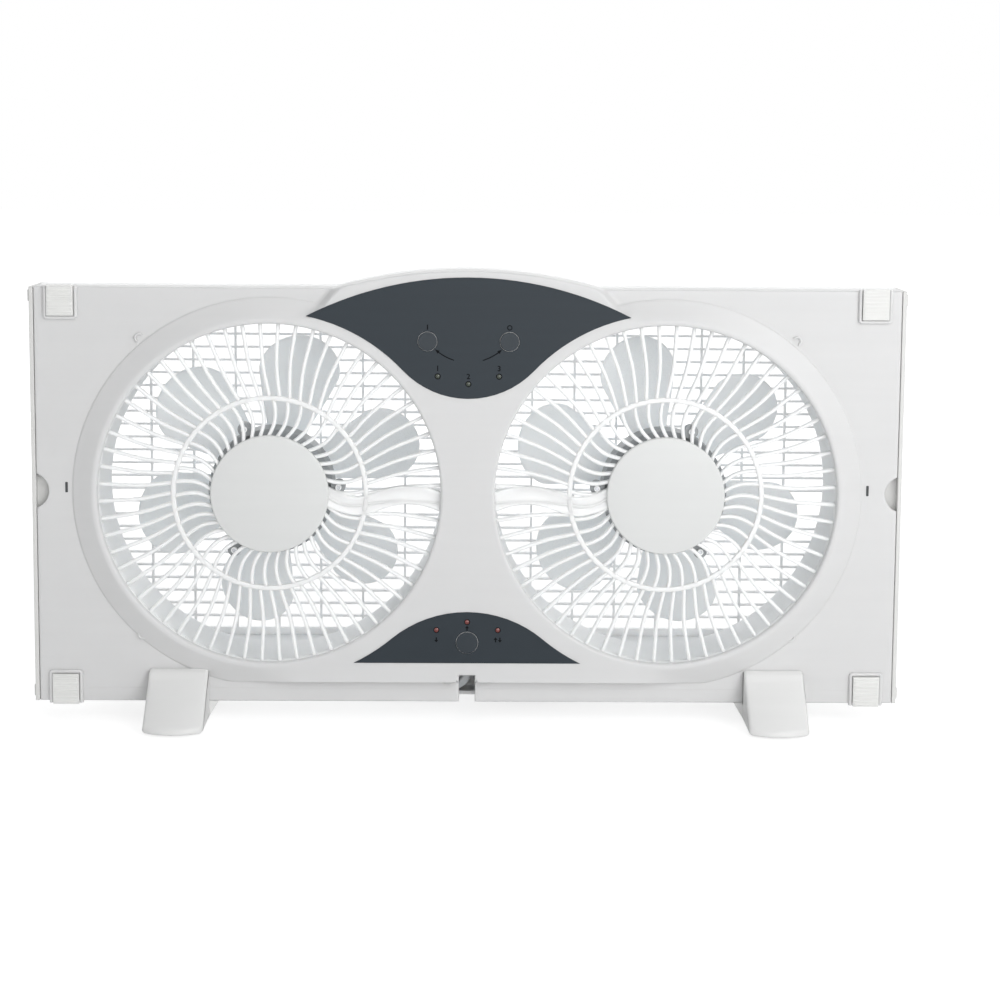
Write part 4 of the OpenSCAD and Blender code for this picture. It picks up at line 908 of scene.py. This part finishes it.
class FAN_OT_front_shell(bpy.types.Operator):
    """Front shell with its two rims, the console's ground and the edge walls"""

    bl_idname = "fan.front_shell"
    bl_label = "Front shell"

    def execute(self, context):
        s = context.scene.fan_shell
        make_piece("front_shell", doubled(self.half(s)), "body", ("front_frame",),
                   "body_plastic", 38)
        return {"FINISHED"}

    @staticmethod
    def angles(radius):
        """Directions from the fan's axis: every 0.7 degrees, close pairs at the corners, and on
        x = 0 each corner's own and that of the point a rounding inside it."""
        corners = half_outline(0)[[1, 2, 3, 4, 28, 29, 30]]
        at = np.arctan2(corners[:, 1] - FAN_Z, corners[:, 0] + FAN_X)
        top = ARCH_Z + ARCH_R
        middle = np.arctan2(
            np.array([NOTCH_Z, NOTCH_Z + radius, top - radius, top]) - FAN_Z, FAN_X)
        low, low_in, high_in, high = middle
        even = np.radians(np.arange(-180, 180, 0.7))
        even = even[~(((even > low) & (even < low_in)) | ((even > high_in) & (even < high)))]
        near = 5e-4
        return np.unique(np.concatenate([even, at - near, at, at + near, middle])), middle

    def half(self, s):
        """Left half: rings of points about the fan's axis from the lip out over the rim, the
        face, the outer wall and back along the inside to the lip."""
        radius = mm(s.edge_round)
        a, middle = self.angles(radius)
        d = polar(1, a)
        centre = np.array([-FAN_X, FAN_Z])
        edge = ray_reach(a, half_outline(0))
        inner = ray_reach(a, half_outline(radius))
        # the rim's rings, drawn together where the halves meet closer than the rim is wide
        end = mm(s.rim_end) - LIP_R
        rim = LIP_R + np.concatenate([
            [0, 0.1, 0.25, 0.5, 0.8, 1.15, 1.55, 2, 2.6, 3.2, 3.8, 5.2, 7, 9, 11, 13, 15],
            end + np.array([-0.8, -0.3, 0, 0.25, 0.5, 0.8, 1.1, 1.35, 1.6, 1.9]), [RIM_WIDE]])
        squeeze = np.minimum(1, (inner - 0.4 - LIP_R) / RIM_WIDE)
        rims = LIP_R + (rim - LIP_R)[:, None] * squeeze
        fan = rims[-1] + (inner - rims[-1]) * np.linspace(0, 1, 16)[1:, None]
        # rings that follow the console's edge, the step and the line below
        px, pz = -FAN_X, FAN_Z - CONSOLE_Z
        b = px * d[:, 0] + pz * d[:, 1]
        ring = -b + np.sqrt(b * b - (px * px + pz * pz) + CONSOLE_R ** 2)
        slope = mm(s.console_slope)
        follow = []
        for part in (1.15, 1, 0.8, 0.6, 0.4, 0.2, 0, -0.15):
            r = ring - part * slope
            for _ in range(30):
                x, z = (centre + r[:, None] * d).T
                r = np.clip(r + (console_inside(x, z, s) - part) * slope, LIP_R, 400)
            follow.append(r)
        down = np.minimum(np.sin(a), -1e-3)
        follow += [(z - FAN_Z) / down for z in (
            16.1, 15.7, 15.3, 14.9, 14.5, 14.2, 13.8, 10.4, 10.1, 9.6, 9.1, 8.8)]
        rows = np.sort(np.concatenate([rims, fan, np.clip(follow, LIP_R, inner)]), 0)
        flat = [centre + r[:, None] * d for r in rows]
        for q in radius * np.array([0.6, 0.32, 0.12, 0.0]):
            reach = ray_reach(a, half_outline(q))
            flat.append(self.met(centre + reach[:, None] * d, a, middle, q, radius))
        front = [lifted(p, -face_rise(*p.T, s) + edge_drop(*p.T, radius)) for p in flat]
        # outer wall, its inside and the back
        rim_line = self.met(centre + edge[:, None] * d, a, middle, 0, radius)
        level = (rim_line[:, 1] < 0.01) | (rim_line[:, 1] > BODY_TOP - 0.01)
        depth = np.where(level, 20.0, WALL)
        inside = centre + ray_reach(a, half_outline(WALL))[:, None] * d
        inside = self.met(inside, a, middle, WALL, radius)
        reach = np.hypot(*(inside - centre).T)
        start = REBATE_R + WALL
        backs = []
        for part in (0.0, 0.25, 0.5, 0.7, 0.85, 1.0):
            p = centre + (reach + (start - reach) * part)[:, None] * d
            p = inside if part == 0 else p
            backs.append(lifted(p, WALL - face_rise(*p.T, s) * smooth((p[:, 1] - 16) / 4)))
        rings = [lifted(rim_line, depth), lifted(inside, depth), *backs]
        for r, t in ((start, 8.0), (REBATE_R, 8.0), (REBATE_R, -2.0), (LIP_R, -2.0)):
            rings.append(lifted(centre + r * d, t))
        points = np.stack([*front, *rings])
        rows, columns = points.shape[:2]
        faces = grid_faces(rows, columns, True, True)
        points = points.reshape(-1, 3)
        points[np.abs(points[:, 0]) < 1e-6, 0] = 0
        on_middle = (points[faces][:, :, 0] == 0).all(1)
        return points, [faces[~on_middle]]

    @staticmethod
    def met(points, a, middle, inset, radius):
        """On the four rays at the outline's corners on x = 0 the inset goes straight up or
        down, so that both halves meet."""
        points = points.copy()
        low, low_in, high_in, high = middle
        top = ARCH_Z + ARCH_R
        for ray, z in ((low, NOTCH_Z + inset), (low_in, NOTCH_Z + max(inset, radius)),
                       (high_in, top - max(inset, radius)), (high, top - inset)):
            points[a == ray] = (0, z)
        return points


def bar_along(path, wide, front, back, bevel=0.5, steps=5):
    """Straight-sided bar along a path in the face's plane: half round in front, square behind."""
    path = np.asarray(path, float)
    a = np.linspace(0, np.pi, steps * 2)
    half, cut = wide / 2, bevel * 0.4
    r = np.minimum(half, (back - front) * 0.6)
    u = np.concatenate([half * np.cos(a), [-half, -half + cut, half - cut, half]])
    t = np.concatenate([front + r * (1 - np.sin(a)), [back - cut, back, back, back - cut]])
    return lifted(path[..., None, :] + left_of(path)[..., None, :] * u[:, None], t)


class FAN_OT_face_marks(bpy.types.Operator):
    """Tab guides, hooked marks, and dark plates painted on the front shell as the shade inside its
    slots
    """

    bl_idname = "fan.face_marks"
    bl_label = "Guides and marks"

    def execute(self, context):
        s = context.scene.fan_shell
        high, wide = mm(s.guide_high), mm(s.guide_wide)
        w = TAB_WIDE / 2 + TAB_GAP + wide / 2
        left, right, high_end = -TAB_X - w, -TAB_X + w, BODY_TOP + 0.9
        low = BODY_TOP + TAB_PROUD - TAB_TALL - TAB_GAP - wide / 2
        u_line = eased([[left, high_end], [left, low], [right, low], [right, high_end]],
                       1.6, 5, closed=False)
        guide = tubes(bar_along(u_line, wide, -high, 0.6)[None])
        upside = (guide[0] * (1, 1, -1) + (0, 0, BODY_TOP), [g[:, ::-1] for g in guide[1]])
        hooks = [polar(2.7, np.radians(turn + np.linspace(0, 205, 19)), -223.5, z)
                 for z, turn in ((252.6, 40), (47.0, 120))]
        hooks = tubes(bar_along(hooks, 1.6, -1.5, 0.4))
        make_piece("tab_guides", doubled(joined(guide, upside, hooks)), "body", (),
                   "body_plastic", 50)
        # the slots are not cut: a thin dark plate stands on the face in their place, painted shade
        # for the shadow inside each slot
        slot = eased([[-275.2, 146], [-273.4, 146], [-273.4, 153.2], [-275.2, 153.2]], 0.5, 3)
        make_piece("painted_slot_shade", doubled(plate(slot, -0.06, 0.4)), "dark")
        return {"FINISHED"}


# ---- grilles


def inner_swing(r):
    """Degrees by which an inner bar leans at radius r: 4.5 u^2 inside the middle and 1.75 u^2
    outside it, with u from -1 at the hub to 1 at the middle ring."""
    u = (r - HUB_R) / (RING_IN - HUB_R) * 2 - 1
    return np.where(u < 0, 4.5, 1.75) * u * u


def outer_swing(r):
    """Degrees by which an outer bar leans: 3 (1 - (1 - v)^2), with v reaching 1 at 0.6 of the
    way to the rim."""
    v = np.clip((r - RING_OUT) / (LIP_R - RING_OUT) / 0.6, 0, 1)
    return 3 * (1 - (1 - v) ** 2)


ARM_LINE = np.array([[38.5, -2.5], [45.6, -6], [53.8, -7.8], [61, -7.8], [68.1, -5.7],
                     [79.2, -2.2], [90.4, -0.4], [103.7, -0.7], [111.8, -1.7],
                     [118.4, -2.8]])
LUGS = (5, 112, 238)
LUG_R = 47.0


def swirl(count, r, swing):
    """Middle lines of the bars, shape (count, len(r), 2): angle 360 k / count + swing(r)."""
    a = np.radians(360 * np.arange(count)[:, None] / count + swing(r)[None])
    return polar(r, a, -FAN_X, FAN_Z)


class FAN_OT_grilles(bpy.types.Operator):
    """Two front grilles: swirled bars, rings, the arm and the lug posts"""

    bl_idname = "fan.grilles"
    bl_label = "Front grilles"

    def execute(self, context):
        s = context.scene.fan_grille
        bars = [tubes(bar_along(swirl(number, np.linspace(*reach), swing), mm(s.bar_wide),
                                GRILLE_FRONT, GRILLE_BACK))
                for number, reach, swing in ((s.inner_bars, (38.6, 65, 11), inner_swing),
                                             (s.outer_bars, (66.6, 118.4, 15), outer_swing))]
        ring = turned(self.band(64.2, 67.5, GRILLE_FRONT - 0.25, 0.9, 5))
        rim = turned(self.band(116.9, 120.1, GRILLE_FRONT, 0.5, 5), steps=128)
        hub = turned(self.band(0, 39.4, GRILLE_FRONT + 0.2, 0.4, 3)[2:-2])
        posts = [turned([[0, 0.4], [2.1, 0.4], [2.1, 3.0], [0, 3.0]],
                        polar(LUG_R, np.radians(angle), -FAN_X, FAN_Z), 16) for angle in LUGS]
        left = joined(*bars, ring, rim, hub, self.arm(s), *posts)
        for name, side in SIDES:
            make_piece("grille_" + name, on_side(left, side), "grille",
                       ("front_grille_" + name,), "grille_plastic", 45)
        return {"FINISHED"}

    @staticmethod
    def band(r0, r1, front, radius, steps):
        """Section of a ring from r0 to r1, from front back to the grille's back."""
        return eased([[r0, front], [r1, front], [r1, GRILLE_BACK], [r0, GRILLE_BACK]],
                     radius, steps)

    @staticmethod
    def arm(s):
        """The arm is a section carried along its bent middle line: level edges, and between
        them a channel of depth c (1 - (u / 0.72)^2), with u from -1 to 1 across."""
        r, angle = spline(ARM_LINE, 4).T
        path = polar(r, np.radians(angle), -FAN_X, FAN_Z)
        u = np.linspace(-1, 1, 25)
        channel = mm(s.arm_channel) * np.clip(1 - (u / 0.72) ** 2, 0, 1)
        soft = 0.9 * np.clip((np.abs(u) - 0.9) / 0.1, 0, 1) ** 2
        front = GRILLE_FRONT - 0.45 + channel + soft
        half = mm(s.arm_wide) / 2
        across = np.concatenate([u * half, [half, -half]])
        depth = np.concatenate([front, [GRILLE_BACK - 0.2] * 2])
        flat = path[:, None] + left_of(path)[:, None] * across[None, :, None]
        return tubes(lifted(flat, depth)[None])


class FAN_OT_hub_caps(bpy.types.Operator):
    """Two shallow domed caps on the grilles' hubs"""

    bl_idname = "fan.hub_caps"
    bl_label = "Hub caps"

    def execute(self, context):
        s = context.scene.fan_grille
        reach, dome = mm(s.cap_r), mm(s.cap_dome)
        edge = 1.1
        r = np.linspace(0, reach - edge, 22)
        front = -6.1 + dome * 0.55 * (r / reach) ** 2.4
        turn = np.radians(np.linspace(90, 0, 8))
        side_wall = stacked(reach - edge + edge * np.cos(turn),
                            front[-1] + 1.5 * (1 - np.sin(turn)) + 0.05)
        under = [[reach, -1.75], [reach - 2, -1.75], [reach - 2, -2.6], [0, -3.6]]
        left = turned(np.concatenate([stacked(r, front), side_wall, under]))
        for name, side in SIDES:
            make_piece("cap_" + name, on_side(left, side), "cap", ("hub_cap_" + name,),
                       "cap_plastic", 50)
        return {"FINISHED"}


# ---- impellers

BLADE_LOW = np.array([[24, -11.5], [40, -16.3], [58, -24], [74, -30], [78, -31]])
BLADE_HIGH = np.array([[24, 12.5], [40, 17.4], [58, 24.5], [74, 30], [78, 31]])
BLADE_PHASE = {"left": 18.4, "right": 19.4}
BLADE_ROOT, BLADE_BEND = 27, 78         # radii where a blade and its round end begin
BLADE_END, BLADE_HALF = 26.6, 31        # length and half width of the round end
BLADE_DEPTH = 62


class FAN_OT_impellers(bpy.types.Operator):
    """Two impellers of one moulding, with cambered paddle blades"""

    bl_idname = "fan.impellers"
    bl_label = "Impellers"

    def execute(self, context):
        s = context.scene.fan_blade
        hub = turned(eased([[0, 49], [29, 49], [29, 75], [26, 75], [26, 55], [9, 55], [9, 73],
                            [0, 73]], 1.6, 4)[3:-3])
        for name, side in SIDES:
            node = "impeller_" + name
            left = joined(hub, tubes(self.blades(s, BLADE_PHASE[name], side)))
            make_piece("blades_" + name, on_side(left, side), "blade", (node,),
                       "blade_plastic", 50, body=node)
        return {"FINISHED"}

    @staticmethod
    def blades(s, phase, hand):
        """At radius x the blade reaches from w0 to w1 across; beyond x = 78 both close as
        31 sqrt(1 - ((x - 78) / 26.6)^2). The right half is mirrored later, so its blades are
        turned over first (hand = -1). Round the section at angle a the place across is
        cos a and the height camber (0.6 - 0.9 cos^2 a) + thick / 2 |sin a|^0.4, turned by the
        pitch."""
        x = np.concatenate([np.linspace(BLADE_ROOT, BLADE_BEND, 15), BLADE_BEND
                            + BLADE_END * np.sin(np.radians(np.linspace(0, 90, 15)))[1:]])
        tip = BLADE_HALF * np.sqrt(np.clip(1 - ((x - BLADE_BEND) / BLADE_END) ** 2, 1e-5, 1))
        low = np.where(x < BLADE_BEND, np.interp(x, *BLADE_LOW.T), -tip)
        high = np.where(x < BLADE_BEND, np.interp(x, *BLADE_HIGH.T), tip)
        x, middle, wide = x[:, None], (low + high)[:, None] / 2, (high - low)[:, None]
        a = np.linspace(0, 2 * np.pi, 28, endpoint=False)
        across, lift = np.cos(a), np.sign(np.sin(a)) * np.abs(np.sin(a)) ** 0.4
        y = middle + wide / 2 * across
        bow = (mm(s.camber) * smooth((x - BLADE_ROOT) / 20) * (0.6 - across ** 2 * 0.9)
               * (wide / 57))
        z = bow + mm(s.thick) / 2 * lift * np.clip(wide / 4, 0.05, 1)
        c, n = math.cos(s.pitch), math.sin(s.pitch)
        y, z = (y * c - z * n) * hand, y * n + z * c
        turn = np.radians(phase + 360 * np.arange(s.blades) / s.blades)[:, None, None]
        return stacked(x * np.cos(turn) - y * np.sin(turn) - FAN_X, BLADE_DEPTH - z,
                       x * np.sin(turn) + y * np.cos(turn) + FAN_Z)


# ---- feet


class FAN_OT_feet(bpy.types.Operator):
    """Two clip-on feet with bowed fronts"""

    bl_idname = "fan.feet"
    bl_label = "Feet"

    def execute(self, context):
        # three-cornered web under the body on each foot's inner side
        web = plate(eased([[19.5, 0.4], [26.4, 0.0], [26.4, -0.6], [20.2, -11],
                           [18.5, -11]], 0.5, 3), 0.0, 30.0)
        points, faces = joined(self.body(), web)
        for name, side in SIDES:
            left = (points - (FOOT_X[name], 0, 0), faces)
            make_piece("stand_" + name, on_side(left, side), "foot", ("foot_" + name,),
                       "foot_plastic", 32)
        return {"FINISHED"}

    @staticmethod
    def body():
        """The side outline, drawn in by 2.2 - sqrt(2.2^2 - e^2) near the foot's sides, with e
        the distance past 18.3 mm, and its front bowed back by 33.5 - sqrt(33.5^2 - s^2)."""
        side = np.array([[-44, 1.5], [-43.2, 5.5], [-9.2, 31.2], [-5.2, 35.6], [-0.3, 37.4],
                         [-0.3, 13.5], [38.3, 13.5], [38.3, 33.5], [96, 33.5], [135, 9.5],
                         [138, 5.5], [138, 1.5]])
        line = eased(side, 1.8, 5)
        ahead = unit(np.roll(line, -1, 0) - np.roll(line, 1, 0))
        outward = stacked(-ahead[:, 1], ahead[:, 0])
        half, edge, bow_r = 20.5, 2.2, 33.5
        ease = edge * (1 - np.cos(np.radians(np.linspace(0, 90, 6))))
        across = np.concatenate([
            -half + ease, np.linspace(-half + edge, half - edge, 13)[1:-1], half - ease[::-1]])
        past = np.clip(np.abs(across) - (half - edge), 0, edge)
        draw = edge - np.sqrt(edge ** 2 - past ** 2)
        flat = line[None] - outward[None] * draw[:, None, None]
        bow = bow_r - np.sqrt(bow_r ** 2 - across ** 2)
        share = np.clip((-6.0 - flat[..., 0]) / 38, 0, 1)
        t = flat[..., 0] + bow[:, None] * share
        return tubes(stacked(across[:, None], t, flat[..., 1] - BODY_LIFT)[None])


# ---- extenders


class FAN_OT_extenders(bpy.types.Operator):
    """Pleated film, end rails and lock tabs of the two extenders"""

    bl_idname = "fan.extenders"
    bl_label = "Extenders"

    def execute(self, context):
        left = self.film(context.scene.fan_cord)
        for name, side in SIDES:
            piece = make_piece("film_" + name, on_side(left, side), "film",
                               ("bellows_" + name,), "film", 60, ride=False)
            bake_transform(piece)
            softened("end_rail_soft_" + name, "end_rail_" + name, "extender_" + name,
                     "rail", "rail_plastic", 0.5)
            for level in ("top", "bottom"):
                node = f"lock_tab_{level}_{name}"
                softened(node + "_soft", node, node, "tab", "body_plastic", 0.18, 1)
        return {"FINISHED"}

    @staticmethod
    def film(s):
        """Zigzag of rounded folds: fold k lies at x = start + k step, at the front for even k
        and the back for odd k; the film is its line, thick by the film's thickness, and each
        end is closed by a strip between its two sides."""
        start, end, front, back = -262.3, -289.9, 14.2, 32.2
        fold = np.arange(2 * s.pleats + 1)
        x = np.linspace(start, end, len(fold))
        ridge = eased(stacked(x, np.where(fold % 2 == 0, front, back)), 0.8, 4, closed=False)
        outward = left_of(ridge) * mm(s.film) / 2
        band = np.concatenate([ridge + outward, (ridge - outward)[::-1]])
        low, high = 29.5, 262.5
        z = np.linspace(low, high, 9)
        points, faces = tubes(stacked(*band.T, z[:, None])[None])
        i = np.arange(len(ridge) - 1)
        last = len(band) - 1
        strip = np.stack([i, i + 1, last - 1 - i, last - i], -1)
        return points, [faces[0], strip[:, ::-1], strip + (len(z) - 1) * len(band)]


# ---- console


class FAN_OT_console(bpy.types.Operator):
    """Panels, buttons and the plain marks printed on the panels"""

    bl_idname = "fan.console"
    bl_label = "Console"

    FRONT, BACK = -7.43, -7.36      # depth of the printed marks

    def execute(self, context):
        for node in ("upper_panel", "lower_panel"):
            softened(node + "_soft", node, "housing", "panel", "panel_slate", 0.35)
        for node in ("speed_button", "off_button", "mode_button"):
            softened(node + "_soft", node, node, "button", "panel_slate", 0.5, 3)
        parts = [doubled(self.arc())]
        for digit, x, z in (("1", -20.8, 231.9), ("2", 0, 226.4), ("3", 20.8, 231.9)):
            parts.append(self.digit(digit, x, z, 3.6))
        parts.append(self.bar([[-27.8, 259.8], [-27.8, 263.2]], 0.9))
        parts.append(self.bar(polar(1.5, np.linspace(0, 2 * np.pi, 25), 27.8, 261.4), 0.75))
        parts += self.arrow(-21.1, 45.9, -1) + self.arrow(0, 54.0, 1)
        parts += self.arrow(19.6, 45.9, 1) + self.arrow(22.6, 45.9, -1)
        make_piece("panel_marks", joined(*parts), "ink")
        # dark rings behind the gaps round the buttons and lamps: painted shade in place of the
        # shadow in each gap
        gap_shade_rings = [self.shade_ring_behind_gap(r, r + 0.5, x, z, -6.9) for r, x, z in (
            (6.45, -27.8, 251.8), (6.45, 27.8, 251.8), (7.45, 0, 43.8))]
        for finish, node, spots in (
                ("speed_lamp", "speed_lamps", ((-20.8, 228.1), (0, 222.9), (20.8, 228.1))),
                ("mode_lamp", "mode_lamps", ((-21.1, 52.7), (0, 58.3), (21.1, 52.7)))):
            lamps = [turned([[0, -7.75], [0.7, -7.68], [1.25, -7.45], [1.6, -7.1], [1.6, -6.2],
                             [0, -6.2]], spot, 20) for spot in spots]
            make_piece(node + "_lens", joined(*lamps), finish, (node,))
            gap_shade_rings += [self.shade_ring_behind_gap(1.6, 2.3, x, z, -7.3) for x, z in spots]
        make_piece("painted_gap_shade", joined(*gap_shade_rings), "ink")
        return {"FINISHED"}

    @staticmethod
    def shade_ring_behind_gap(r0, r1, x, z, front):
        """Ring of the ink's dark colour behind the gap round a button or lamp: painted shade that
        keeps the gap dark.
        """
        back = front + 0.6
        return turned([[r0, front], [r1, front], [r1, back], [r0, back]], (x, z), 32)

    def bar(self, line, wide):
        return tubes(bar_along(line, wide, self.FRONT, self.BACK, 0.02, 3)[None])

    def arc(self):
        """One half of the arc between the buttons, centre (0, 271.0), radius 33.3, with its
        head on the tangent."""
        line = polar(33.3, np.radians(np.linspace(228.2, 253, 14)), 0, 271.0)
        tip = line[0]
        back = unit(line[3] - tip)
        across = np.array([-back[1], back[0]])
        head = [tip - back * 0.6, tip + back * 2.6 + across * 1.2, tip + back * 2.6 - across * 1.2]
        return joined(self.bar(line, 0.8), plate(head, self.FRONT, self.BACK))

    def arrow(self, x, z, way):
        """Upright arrow 3.4 mm high, pointing up or down."""
        shaft = self.bar([[x, z - 1.7 * way], [x, z + 0.6 * way]], 0.9)
        foot = z + 0.1 * way
        head = [[x - 1.4, foot], [x + 1.4, foot], [x, z + 1.8 * way]]
        return [shaft, plate(head, self.FRONT, self.BACK)]

    def digit(self, text, x, z, high):
        """A digit of the built-in font, high in millimetres, centred on x and standing on z."""
        data = bpy.data.curves.new("digit", "FONT")
        data.body, data.size, data.extrude = text, high / 0.7, (self.BACK - self.FRONT) / 2
        data.align_x = "CENTER"
        data.resolution_u, data.offset = 4, 0.1
        text_object = bpy.data.objects.new("digit", data)
        bpy.context.scene.collection.objects.link(text_object)
        bpy.context.view_layer.update()
        mesh = bpy.data.meshes.new_from_object(
            text_object.evaluated_get(bpy.context.evaluated_depsgraph_get()))
        bpy.data.objects.remove(text_object)
        mesh.calc_loop_triangles()
        across, up, out = np.array([corner.co for corner in mesh.vertices], float).T
        faces = np.array([face.vertices for face in mesh.loop_triangles])
        return stacked(x + across, (self.FRONT + self.BACK) / 2 - out, z + up), [faces]


class FAN_OT_finishes(bpy.types.Operator):
    """Gives every carried-over node its finish"""

    bl_idname = "fan.finishes"
    bl_label = "Finishes"

    def execute(self, context):
        made = finishes()
        missing = set(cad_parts)
        for finish, nodes in NODE_FINISHES.items():
            for node in nodes:
                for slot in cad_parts[node].material_slots:
                    slot.material = made[finish]
                missing.discard(node)
        if missing:
            raise RuntimeError(f"no finish for {sorted(missing)}")
        return {"FINISHED"}


OPERATORS = (
    FAN_OT_stage, FAN_OT_cord, FAN_OT_front_shell, FAN_OT_face_marks, FAN_OT_grilles,
    FAN_OT_hub_caps, FAN_OT_impellers, FAN_OT_feet, FAN_OT_extenders, FAN_OT_console,
    FAN_OT_finishes,
)


class FAN_PT_panel(bpy.types.Panel):
    """Buttons and settings of the window fan"""

    bl_idname = "FAN_PT_panel"
    bl_label = "Window fan"
    bl_space_type = "VIEW_3D"
    bl_region_type = "UI"
    bl_category = "Window fan"

    def draw(self, context):
        for operator in OPERATORS:
            self.layout.operator(operator.bl_idname)
        for group, kind in GROUPS.items():
            box = self.layout.box()
            box.label(text=kind.__name__)
            for name in kind.__annotations__:
                box.prop(getattr(context.scene, group), name)


def register():
    for kind in (*GROUPS.values(), *OPERATORS, FAN_PT_panel):
        bpy.utils.register_class(kind)
    for name, kind in GROUPS.items():
        setattr(bpy.types.Scene, name, PointerProperty(type=kind))


def unregister():
    for name in GROUPS:
        delattr(bpy.types.Scene, name)
    for kind in (FAN_PT_panel, *reversed(OPERATORS), *reversed(GROUPS.values())):
        bpy.utils.unregister_class(kind)


def main():
    register()
    for operator in OPERATORS:
        group, name = operator.bl_idname.split(".")
        getattr(getattr(bpy.ops, group), name)()


if __name__ == "__main__":
    main()
